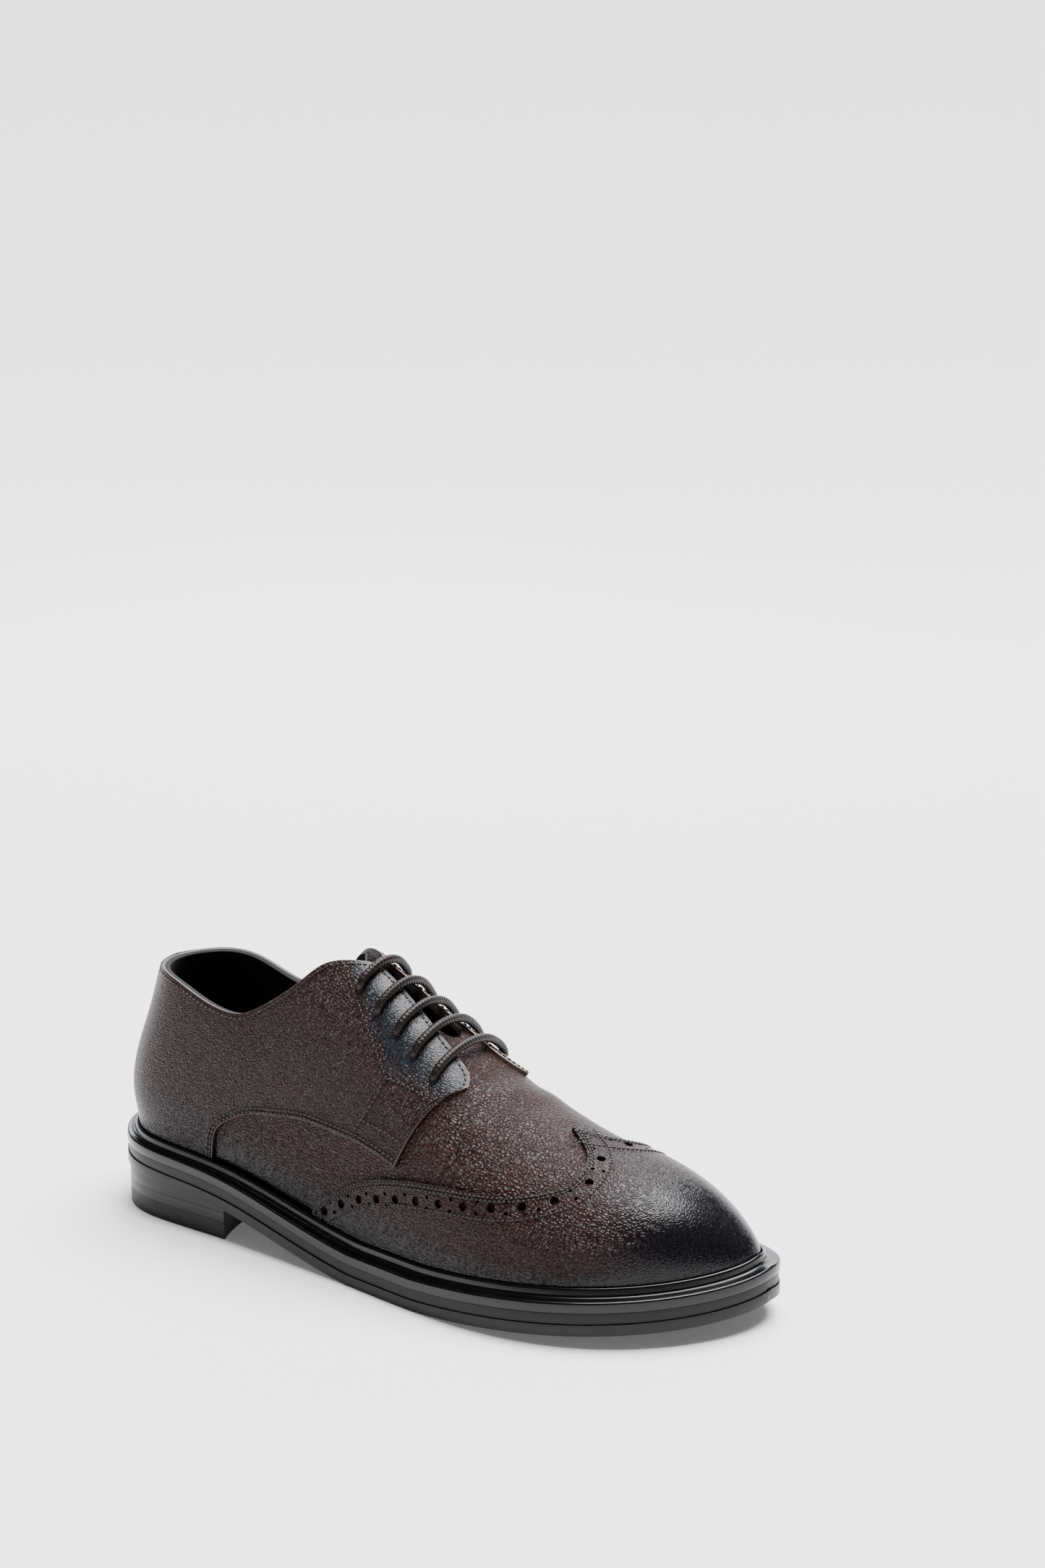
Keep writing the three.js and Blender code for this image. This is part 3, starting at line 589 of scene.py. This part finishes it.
crest = [[96.3, 96.5], [104, 95], [112, 92], [120, 90], [140, 90], [160, 90], [180, 90]]


def topline_pairs(rows):
    """Pairs of the topline: the angle around whose height is the collar's share plus the ridge's."""
    along, collar, ridge = rows[:, 0], rows[:, 1], rows[:, 2]
    share = np.minimum(collar * collar_height / ridge_rise(along) + ridge, 0.999)
    power = fullness(along)
    return np.stack([along, np.degrees(np.arctan2(share, (1 - share ** power) ** (1 / power)))], -1)


lateral_topline = topline_pairs(topline)
medial_topline = inner_side(lateral_topline)


def feather_run(start, end, count):
    """Even steps along the outer feather line."""
    along = np.linspace(start, end, count + 1)
    return np.stack([along, np.zeros_like(along)], -1)


def wall_patch(top_edge, facing, slot, inner):
    """Half of the wall, from the feather line to the topline, the slot and the crest."""
    low = chain(feather_run(0, 78, 120), feather_run(78, 100, 40), feather_run(100, 180, 120))
    high = chain(run(np.concatenate([top_edge, facing[:3]]), 120), run(slot, 40), run(crest, 120))
    return patch(inner_side(low) if inner else low, high, 70)


def smooth(value, low, high):
    """0 below low, 1 above high, and an even S between."""
    share = np.clip((value - low) / (high - low), 0, 1)
    return share * share * (3 - 2 * share)


def low_side(pairs):
    """How close a place is to the welt, as 1 at the feather line and 0 from 16 degrees around."""
    around = np.minimum(pairs[:, 1], 180 - pairs[:, 1])
    return 1 - smooth(around, 2, 16)


def leather(name, colour, burnish_shade_and_sheen, grain, depth, roughness):
    """Pebbled calf: cells of the given width in mm, domed between fine valleys, over a finer grain.
    The dye is mottled, and darkened in the valleys as painted shade. Where the burnish field is high
    the leather takes the second colour and is smoother and glossier: darker for the burnish and for the
    painted shade towards the welt, and on the quarters a lighter blue-grey that is partly a painted
    highlight."""
    made, tree, shader = new_material(name)
    place = add_node(tree, "TexCoord").outputs["Object"]
    wander = add_node(tree, "TexNoise", {"Vector": place, "Scale": 300.0, "Detail": 2.0})
    bent = add_node(tree, "VectorMath", {0: wander.outputs["Color"], 1: (0.0022,) * 3},
                    operation="MULTIPLY")
    bent = add_node(tree, "VectorMath", {0: place, 1: bent}, operation="ADD")
    stretch = add_node(tree, "Mapping", {"Vector": bent, "Scale": (0.8, 1.0, 1.1)})
    pebble = add_node(tree, "TexVoronoi", {"Vector": stretch, "Scale": 1000 / grain},
                      feature="DISTANCE_TO_EDGE")
    dome = add_node(tree, "MapRange", {"Value": pebble, "From Max": 0.32},
                    interpolation_type="SMOOTHSTEP")
    fine = add_node(tree, "TexNoise", {"Vector": place, "Scale": 2200.0, "Detail": 3.0})
    burnish_and_shade = add_node(tree, "Attribute", attribute_name="burnish_and_shade").outputs["Fac"]
    grainy = add_node(tree, "MapRange", {"Value": burnish_and_shade, "To Min": 1.0, "To Max": 0.2})
    height = add_node(tree, "Math", {0: dome, 1: grainy}, operation="MULTIPLY")
    height = add_node(tree, "Math", {0: fine, 1: 0.16, 2: height}, operation="MULTIPLY_ADD")
    cloud = add_node(tree, "TexNoise", {"Vector": place, "Scale": 38.0, "Detail": 4.0,
                                        "Roughness": 0.6})
    # The colour in the grain's valleys is cut to about a third: painted shade in the recesses.
    valley_shade = add_node(tree, "MapRange", {"Value": dome, "To Min": 0.35, "To Max": 1.08})
    shade = add_node(tree, "Math", {0: spread(tree, cloud, 0.82, 1.2), 1: valley_shade}, operation="MULTIPLY")
    dye = add_node(tree, "Mix", {"Factor": burnish_and_shade, "A": linear(colour), "B": linear(burnish_shade_and_sheen)},
                   data_type="RGBA")
    toned = add_node(tree, "VectorMath", {0: dye, "Scale": shade}, operation="SCALE")
    bump = add_node(tree, "Bump", {"Height": height, "Strength": 1.0, "Distance": depth / 1000})
    rough = add_node(tree, "MapRange", {"Value": burnish_and_shade, "To Min": roughness,
                                        "To Max": roughness - 0.16})
    feed(shader, {"Base Color": toned, "Roughness": rough, "Normal": bump, "Specular IOR Level": 0.22})
    return made


vamp_leather = leather("pebbled_vamp_calf", "#321812", "#0c0706", 1.45, 0.4, 0.42)
# Brushed lining: black and matt, with a short nap that swallows the light inside the shoe
lining, tree, shader = new_material("brushed_lining")
nap = add_node(tree, "TexNoise", {"Vector": add_node(tree, "TexCoord").outputs["Object"],
                                  "Scale": 1400.0, "Detail": 4.0})
nap_bump = add_node(tree, "Bump", {"Height": nap, "Strength": 0.8, "Distance": 0.0004})
feed(shader, {"Base Color": linear("#0e0e0e"), "Roughness": 0.95, "Normal": nap_bump,
              "Sheen Weight": 0.08, "Sheen Roughness": 0.5})
# The vamp's burnish field is only its darkening towards the welt: painted shade on the lower sides.
upper = shell("vamp_and_lining", [wall_patch(lateral_topline, lateral_facing, lateral_slot, False),
                                  wall_patch(medial_topline, medial_facing, medial_slot, True)],
              [-wall, -0.5, 0], [vamp_leather, lining], (0, 1, 1), attributes={"burnish_and_shade": low_side})
# along, around on the outer facing, around on the inner one
eyelets = np.array([[80, 68.4, 117], [85, 65.9, 124], [89.6, 65.2, 127], [93.9, 62.6, 127],
                    [98.4, 60.5, 125.5]])
outer_eyes, inner_eyes = eyelets[:, [0, 1]], eyelets[:, [0, 2]]
eyelet_diameter = 4.0


def ring_angles(sides):
    """Even angles of a ring's points, all the way round."""
    return np.linspace(0, 2 * np.pi, sides, endpoint=False)


def circles(first, second, sides):
    """Unit circle by each two directions: the first by the cosine, the second by the sine."""
    angle = ring_angles(sides)[:, None]
    return first[:, None] * np.cos(angle) + second[:, None] * np.sin(angle)


def tubes(count, rings, sides):
    """Faces of closed tubes whose points follow ring by ring: their sides and both caps."""
    index = np.arange(rings * sides).reshape(rings, sides)
    ahead = np.roll(index, -1, axis=1)
    quads = np.stack([index[:-1], ahead[:-1], ahead[1:], index[1:]], -1).reshape(-1, 4)
    start = rings * sides * np.arange(count)[:, None]
    return ((start[:, None] + quads).reshape(-1, 4).tolist() + (start + index[0, ::-1]).tolist()
            + (start + index[-1]).tolist())


def drills(name, pairs, diameter, sides=20):
    """Rods square to the skin at the pairs, from 6 mm under it to 6 mm over it."""
    inner, outer = skin(pairs, -6.0), skin(pairs, 6.0)
    axis = unit(outer - inner)
    first = unit(np.cross(axis, [1.0, 0, 0]))
    circle = diameter / 2 * circles(first, np.cross(axis, first), sides)
    points = np.concatenate([inner[:, None] + circle, outer[:, None] + circle], 1)
    return put_mesh(name, points.reshape(-1, 3), tubes(len(pairs), 2, sides), [])


drill = drills("eyelet_drill", np.concatenate([outer_eyes, inner_eyes]), eyelet_diameter)
round_edges(upper, 0.4, drill)
seat(upper, "upper_leather", "upper")


# Insole: a leather board with the cork filler under it, in the ring of the welt. Its sock is of the
# same black lining, and is seen only through the collar.
def toeward(along):
    """0 up to the ball of the foot, and 1 at the tip, as a square."""
    return np.maximum(0, (along - 140) / 40) ** 2


def filler_reach(along):
    """Inside the welt's ring, with more room at the toe."""
    return -welt_reach - gap - 2 * toeward(along)


def sock_reach(along):
    """Inside the upper's wall, with more room at the toe."""
    return -wall - 0.4 - 5 * toeward(along)


sock_thickness = 2.7
insole = shell("sock_and_filler", whole_length, [0, 1, 2, 3], [lining], (0, 0, 0), plate_place([
    (0, filler_reach, over_tread(welt_foot)), (0, filler_reach, over_tread(sole_edge + gap)),
    (0, sock_reach, over_tread(sole_edge + gap)),
    (0, sock_reach, over_tread(sole_edge + gap + sock_thickness))]))
seat(insole, "insole", "insole")


# Quarters: two panels of finer pebbled calf with a folded edge, sewn over the vamp. Their facings are
# burnished blue-black and smooth as far as the stay row, and the edge at the collar shows red-brown.
# The colour given to their burnish is a lighter blue-grey, which adds a painted highlight to the
# facings.
quarter_corner = [96.4, 26.4]
quarter_edge = [[53.8, 0], [54.5, 4.7], [55.8, 8.5], [59.1, 12.4], [63.6, 16], [69.9, 19.2], [76, 22.2],
                [82.1, 24.2], [88.2, 26.2], quarter_corner]
stay_row = [[75.4, 72.3], [77, 68.1], [80.8, 62.3], [85.5, 56], [91, 48.1]]
stay_foot = [[91, 48.1], [95.4, 50.8], [101.3, 53.1]]


def quarter_patch(top_edge, facing, inner):
    """Quarter from the feather line and its lower edge up to the topline and the facing."""
    edge = run(np.concatenate([top_edge, facing]), 600)
    split = 180
    high = chain(edge[:split + 1:2], edge[split::2])
    low = chain(feather_run(0, quarter_edge[0][0], 90), run(quarter_edge, 210))
    return patch(inner_side(low) if inner else low, high, 64)


def quarter_burnish_and_shade(pairs):
    """1 on the facing, inside the stay row, and towards the welt and the back of the heel."""
    outer = np.where((pairs[:, 1] > 90)[:, None], inner_side(pairs), pairs)
    stay = np.array(stay_row + stay_foot[1:] + [[106, 55]])
    ahead = smooth(outer[:, 1] - np.interp(outer[:, 0], *stay.T), -2.5, 9)
    facing = ahead * smooth(outer[:, 0], 74, 77)
    back = 1 - smooth(outer[:, 0], 4, 22)
    return np.clip(facing + 0.55 * low_side(pairs) + 0.5 * back, 0, 1)


# The second colour is a light blue-grey: burnish and painted highlight on facings, heel back and lower
# sides.
quarter_leather = leather("pebbled_quarter_calf", "#2c130f", "#2a2c31", 1.15, 0.34, 0.42)
# Inked edge of folded calf: plain dark brown with a low shine
folded_edge, tree, shader = new_material("inked_calf_edge")
feed(shader, {"Base Color": linear("#140c0a"), "Roughness": 0.45})


def facing_edge(pairs):
    """1 on the inner edges of the facings, down to their rounded ends."""
    middle = smooth(pairs[:, 1], 60, 66) * (1 - smooth(pairs[:, 1], 118, 124))
    return middle * smooth(pairs[:, 0], 76.5, 78) * (1 - smooth(pairs[:, 0], 103.6, 105))


# Corner of a cut or folded edge, rubbed by use: red-brown. On the facings' inner edges it is a pale
# tan, a painted highlight along the glossy cut edge.
worn_edge_and_highlight, tree, shader = new_material("rubbed_calf_edge_and_highlight")
facing_edge_highlight = add_node(tree, "Attribute", attribute_name="facing_edge").outputs["Fac"]
rubbed_and_highlit_tone = add_node(tree, "Mix", {"Factor": facing_edge_highlight, "A": linear("#2c1814"), "B": linear("#a58e7a")},
                  data_type="RGBA")
feed(shader, {"Base Color": rubbed_and_highlit_tone, "Roughness": 0.42})
for side, top_edge, facing, inner in (("lateral", lateral_topline, lateral_facing, False),
                                      ("medial", medial_topline, medial_facing, True)):
    quarter = shell("quarter_" + side + "_calf", [quarter_patch(top_edge, facing, inner)],
                    [0.05, panel_top], [quarter_leather, folded_edge, worn_edge_and_highlight], (0, 1, 1),
                    attributes={"burnish_and_shade": quarter_burnish_and_shade, "facing_edge": facing_edge})
    round_edges(quarter, 0.5, drill, 2)
    seat(quarter, "quarter_leather", "quarter_" + side)
bpy.data.objects.remove(drill)


# Back strip: a narrow dark strip that covers the seam at the back of the heel, from the welt to the
# collar, sewn down both sides.
strip_top, strip_foot, strip_low = 13.0, 8.5, 2.2
strip_leather = leather("burnished_strip_calf", "#1c0f0d", "#0c0e13", 1.1, 0.3, 0.42)
strip_high = topline_pairs(np.array([[0, 1, 0], [strip_top / 2, 1, 0], [strip_top, 1, 0]]))
strip_base = np.array([[0, strip_low], [strip_foot / 2, strip_low], [strip_foot, strip_low]])
strip_half = patch(run(strip_base, 16), run(strip_high, 16), 60)
strip_out = panel_top + 0.75
# The strip darkens at the heel's back, which is burnish, and towards the welt, which is painted shade.
strip = shell("back_strip_calf", [strip_half, inner_side(strip_half)], [panel_top + 0.02, strip_out],
              [strip_leather, folded_edge], (0, 1, 1), attributes={"burnish_and_shade": quarter_burnish_and_shade})
round_edges(strip, 0.35)
seat(strip, "back_strip_leather", "back_strip")


# Winged toe cap: a panel laid over the vamp, with its wings sewn down to the waist. A band of large
# punched holes with pairs of small ones between them runs inside its edge. The toe is burnished.
wing_edge = [[78.2, 0], [79.4, 3.7], [81.6, 7.2], [85, 11.5], [88.8, 16.3], [92.7, 20], [98.4, 24.5],
             [105.7, 30], [112.5, 34.7], [118.5, 39.8], [123.8, 47], [127.1, 54.5], [127.7, 65.7],
             [125.8, 76.4], [122.2, 84.8], [119.2, 90]]
punch_pitch, large_punch, small_punch, pair_spread = 11.3, 3.6, 1.5, 2.1
# distance of the punched line from the wing's edge, by the length from the wing's peak
punch_line = spline([0, 30, 50, 63, 85, 107, 118, 131, 155, 180],
                    [5, 5, 4.4, 4.8, 6.3, 7.3, 7.5, 6.4, 4.2, 4])


def inset(line, distance):
    """Line moved over the skin by a distance in mm, to its left seen from outside: the shift is solved
    for in the two angles from the skin's slopes."""
    step = 0.05

    def slope(axis):
        shift = np.zeros_like(line)
        shift[:, axis] = step
        return (last_point(*(line + shift).T) - last_point(*(line - shift).T)) / (2 * step)

    a, b = slope(0), slope(1)
    aim = np.cross(unit(np.cross(a, b)), unit(np.gradient(last_point(*line.T), axis=0))) * distance
    aa, ab, bb = (a * a).sum(1), (a * b).sum(1), (b * b).sum(1)
    fa, fb = (a * aim).sum(1), (b * aim).sum(1)
    span = aa * bb - ab ** 2
    return line + np.stack([(fa * bb - fb * ab) / span, (fb * aa - fa * ab) / span], -1)


outer_wing = run(wing_edge, 180)
whole_wing = chain(outer_wing, inner_side(outer_wing)[::-1])


def punch_pairs(start, aside):
    """Places along both wings, aside of the punched line by a distance: the first at a length from the
    peak, and the next ones a pitch apart."""
    length = lengths(last_point(*whole_wing.T))
    length = np.abs(length - length[-1] / 2)
    row = inset(whole_wing, -(punch_line(length) + aside)[:, None])[:len(outer_wing)]
    at = np.arange(start, length[0] - 4, punch_pitch)
    half = between(at, length[len(row) - 1::-1], row[::-1])
    return np.concatenate([half, inner_side(half)])


def cap_burnish_and_shade(pairs):
    """1 at the toe's tip, burnished, and along the welt, as painted shade, and 0 by the punched band.
    """
    toe = smooth(pairs[:, 0], 128, 152)
    return np.clip(toe + 0.85 * low_side(pairs), 0, 1)


cap_leather = leather("punched_cap_calf", "#2b120e", "#101015", 1.3, 0.26, 0.4)
cap_low = chain(feather_run(wing_edge[0][0], 180, 122), run([[180, 0], [180, 45], [180, 90]], 58))
cap_half = patch(cap_low, outer_wing, 64)
cap = shell("winged_toe_cap_calf", [cap_half, inner_side(cap_half)], [0.05, panel_top],
            [cap_leather, folded_edge, worn_edge_and_highlight], (0, 1, 1), attributes={"burnish_and_shade": cap_burnish_and_shade})
round_edges(cap, 0.4, look=2)
for first, aside, size in ((18.5, 0, large_punch), (12.9, -pair_spread, small_punch),
                           (24.1, pair_spread, small_punch)):
    punches = drills("punch", punch_pairs(first, aside), size, 14)
    round_edges(cap, 0, punches)
    bpy.data.objects.remove(punches)
seat(cap, "wing_cap_leather", "wing_cap")


# Tongue: soft dark calf under the facings, sewn to the vamp at its root. Only its tip and a narrow
# stretch between the facings show.
tongue_lateral = [[75.6, 91], [76.6, 88], [77.8, 82], [79.4, 73], [82, 65], [88, 60], [96, 57],
                  [102, 56], [106, 56]]
tongue_medial = [[75.6, 96], [76.6, 98.5], [77.8, 101.5], [79.4, 111], [82, 121], [88, 130],
                 [96, 133], [102, 132], [106, 131]]
tongue_thickness = 2.0
# distance of the tongue from the wall's inner side: over it at the tip, room for the lace, sewn in
tongue_under = spline([75.6, 77.8, 80.6, 90, 99, 103.5, 106], [-2.2, 0.7, 3.8, 3.8, 3.8, 0.7, 0.7])


def tongue_place(pairs, depth):
    """Skin moved in by the wall, the drop at that angle and a depth."""
    return skin(pairs, -wall - tongue_under(pairs[..., 0]) - depth)


tongue_leather = leather("soft_tongue_calf", "#1a100e", "#0e0c0c", 1.2, 0.2, 0.45)
tongue = shell("tongue_calf", [patch(run(tongue_lateral, 60), run(tongue_medial, 60), 40)],
               [tongue_thickness, 0], [tongue_leather, lining], (0, 1, 0), tongue_place,
               {"burnish_and_shade": lambda pairs: np.full(len(pairs), 0.4)})
round_edges(tongue, 0.5)
seat(tongue, "tongue_leather", "tongue")


# Lace: one round waxed cord of 3.5 mm in straight bars. It comes up through an eyelet, arches over the
# gap, goes down through the next one and runs on under the facing to another pair.
lace_diameter, lace_arch = 3.5, 0.8
under = -wall - lace_diameter / 2 - 0.1


def bar(number, forward):
    """Points of a bar: up through one eyelet, over the facings in a low arch, and down the other."""
    along, start, end = eyelets[number]
    clear = panel_top + lace_diameter / 2
    rise = np.array([0, 0, 0, 0.05, 0.16, 0.32])
    share = np.concatenate([rise, [0.5], 1 - rise[::-1]])
    climb = [under + 0.6, -0.4, clear - 1.3, clear + 0.15,
             clear + 0.5 * lace_arch, clear + 0.9 * lace_arch]
    out = np.array([*climb, clear + lace_arch, *climb[::-1]])
    rows = np.stack([np.full(len(share), along), start + (end - start) * share, out], -1)
    return rows if forward else rows[::-1]


def hidden(start, end, bow):
    """Points of a run under the facing from one eyelet to another, bowed aside by some degrees."""
    share = np.array([0.25, 0.5, 0.75])
    pair = np.outer(1 - share, start) + np.outer(share, end)
    pair[:, 1] += bow * np.sin(np.pi * share)
    return np.column_stack([pair, np.full(3, under - 0.2)])


lace_rows = np.concatenate([
    [[78.7, 112.5, under], [79.2, 114.5, under]],
    bar(0, False), hidden(outer_eyes[0], outer_eyes[2], -3.0),
    bar(2, True), hidden(inner_eyes[2], inner_eyes[4], 2.5),
    bar(4, False), hidden(outer_eyes[4], inner_eyes[3], 0.0),
    bar(3, False), hidden(outer_eyes[3], outer_eyes[1], 2.5),
    bar(1, True), [[83.4, 123.0, under], [81.8, 121.5, under]]])
lace_points = skin(lace_rows[:, :2], lace_rows[:, 2])


def cord_mesh(name, points, diameter, material, per_mm=1.6, sides=16):
    """Tube along a smooth line through the points. The section's frame is carried along the line, so
    it never twists by itself. Its own map holds the length and the place round it, in mm."""
    chord = np.linalg.norm(np.diff(points, axis=0), axis=1)
    at = np.concatenate([[0], np.cumsum(chord ** 0.5)])
    dense = np.linspace(0, at[-1], int(chord.sum() * per_mm))
    line = np.stack([spline(at, column)(dense) for column in points.T], -1)
    way = unit(np.gradient(line, axis=0))
    first = np.zeros_like(line)
    first[0] = unit(np.cross(way[0], [0.0, 0, 1.0]))
    for i in range(1, len(line)):
        first[i] = unit(first[i - 1] - way[i] * (first[i - 1] @ way[i]))
    taper = np.full(len(line), diameter / 2)
    taper[[0, -1]] *= 0.5
    rings = line[:, None] + taper[:, None, None] * circles(first, np.cross(way, first), sides)
    made = put_mesh(name, rings.reshape(-1, 3), tubes(1, len(line), sides), [material])
    angle = ring_angles(sides)
    keep_field(made, "cord_length", np.repeat(lengths(line), sides))
    keep_field(made, "cord_x", np.tile(np.cos(angle), len(line)))
    keep_field(made, "cord_y", np.tile(np.sin(angle), len(line)))
    return made


# Waxed cotton cord: tight braid of dark brown yarn, rubbed to a dull shine; painted shade in its
# grooves
lace_cotton, tree, shader = new_material("waxed_braided_cotton")
yarn, part_x, part_y = [add_node(tree, "Attribute", attribute_name=key).outputs["Fac"]
                        for key in ("cord_length", "cord_x", "cord_y")]
swing = add_node(tree, "Math", {0: part_y, 1: part_x}, operation="ARCTAN2")
braid_length, braid_strands = 1.7, 4.0
braid = []
for braid_way in (1.0, -1.0):
    phase = add_node(tree, "Math", {0: yarn, 1: braid_way * 2 * math.pi / braid_length},
                     operation="MULTIPLY")
    phase = add_node(tree, "Math", {0: swing, 1: braid_strands, 2: phase}, operation="MULTIPLY_ADD")
    wave = add_node(tree, "Math", {0: phase}, operation="SINE")
    braid.append(wave)
weave = add_node(tree, "Math", {0: braid[0], 1: braid[1]}, operation="MAXIMUM")
weave_bump = add_node(tree, "Bump", {"Height": weave, "Strength": 0.6, "Distance": 0.00012})
# Darker where the weave is low: painted shade in the braid's grooves
groove_shade = add_node(tree, "MapRange", {"Value": weave, "From Min": -1.0})
yarn_with_groove_shade = add_node(tree, "Mix", {"Factor": groove_shade, "A": linear("#0b0706"),
                                     "B": linear("#1b110d")}, data_type="RGBA")
feed(shader, {"Base Color": yarn_with_groove_shade, "Normal": weave_bump,
              "Roughness": 0.42, "Specular IOR Level": 0.2})
lace = cord_mesh("waxed_lace", lace_points, lace_diameter, lace_cotton)
seat(lace, "lace", "lace_bar_1", "lace_bar_2", "lace_bar_3", "lace_bar_4", "lace_bar_5")


# Seams: lockstitch in dark waxed linen thread, about eleven stitches to 25 mm, sunk a little into the
# leather along the folded edges and the bands.
def seam(name, rows, out, pitch, width, material):
    """Joined stitches along rows of pairs. Each is a short rod of five rings of six points, with its
    long axis along the row and its foot in the leather."""
    ring_at = np.array([-0.5, -0.36, 0.0, 0.36, 0.5]) * pitch * 0.74
    ring_size = np.array([0.3, 0.85, 1.0, 0.85, 0.3]) * width / 2
    angle = ring_angles(6)
    rod = np.stack([np.repeat(ring_at, 6), np.outer(ring_size, np.cos(angle)).ravel(),
                    np.outer(ring_size, np.sin(angle)).ravel()], -1)
    points = []
    for row in rows:
        place = skin(row, out)
        above = skin(row, out + 1.0) - place
        length = lengths(place)
        at = np.arange(pitch / 2, length[-1], pitch)
        way = unit(between(at + 0.5, length, place) - between(at - 0.5, length, place))
        normal = unit(between(at, length, above))
        side = np.cross(normal, way)
        points.append(between(at, length, place)[:, None] + rod[:, 0, None] * way[:, None]
                      + rod[:, 1, None] * side[:, None] + rod[:, 2, None] * normal[:, None])
    points = np.concatenate(points).reshape(-1, 3)
    return put_mesh(name, points, tubes(len(points) // len(rod), 5, 6), [material])


# Waxed linen thread: near black, with a dull gleam
thread, tree, shader = new_material("waxed_linen_thread")
feed(shader, {"Base Color": linear("#120d0c"), "Roughness": 0.38})
stitch_pitch, wing_pitch, strip_pitch = 2.3, 1.9, 2.1
stitch_width, strip_stitch_width = 0.78, 0.5
stitch_out = panel_top + 0.1
lower_row = run(quarter_edge, 220)
quarter_rows = [inset(line, far) for line in (lower_row, inner_side(lower_row)[::-1])
                for far in (1.2, 2.7)]
for top_edge, facing, foot, aside in (
        (lateral_topline, lateral_facing, [[100.5, 52], [98.4, 39]], -1.9),
        (medial_topline, medial_facing, [[101.4, 131], [98.9, 142.4]], 1.9)):
    quarter_rows.append(inset(run(np.concatenate([top_edge, facing, foot]), 500)[60:], aside))
both_sides = [run(stay_row, 80), run(stay_foot, 40), run([[91, 48.1], [89.8, 39.5], [87.2, 28.9]], 40)]
quarter_rows += both_sides + [inner_side(row) for row in both_sides]
quarter_rows.append(run([[88.3, 32.6], [92.2, 33.6], [96.8, 34.2]], 30))
seat(seam("quarter_stitching", quarter_rows, stitch_out, stitch_pitch, stitch_width, thread),
     "quarter_leather")

wing_rows = [inset(whole_wing, -far)[4:-4] for far in (1.1, 2.4, 9.2)]
seat(seam("wing_stitching", wing_rows, stitch_out, wing_pitch, stitch_width, thread),
     "wing_cap_leather")

strip_side = run([[strip_foot - 0.9, strip_low], [(strip_foot + strip_top) / 2 - 0.9, 28],
                  [strip_top - 0.9, 37.5]], 60)
seat(seam("strip_stitching", [strip_side, inner_side(strip_side)], strip_out, strip_pitch,
          strip_stitch_width, thread), "back_strip_leather")
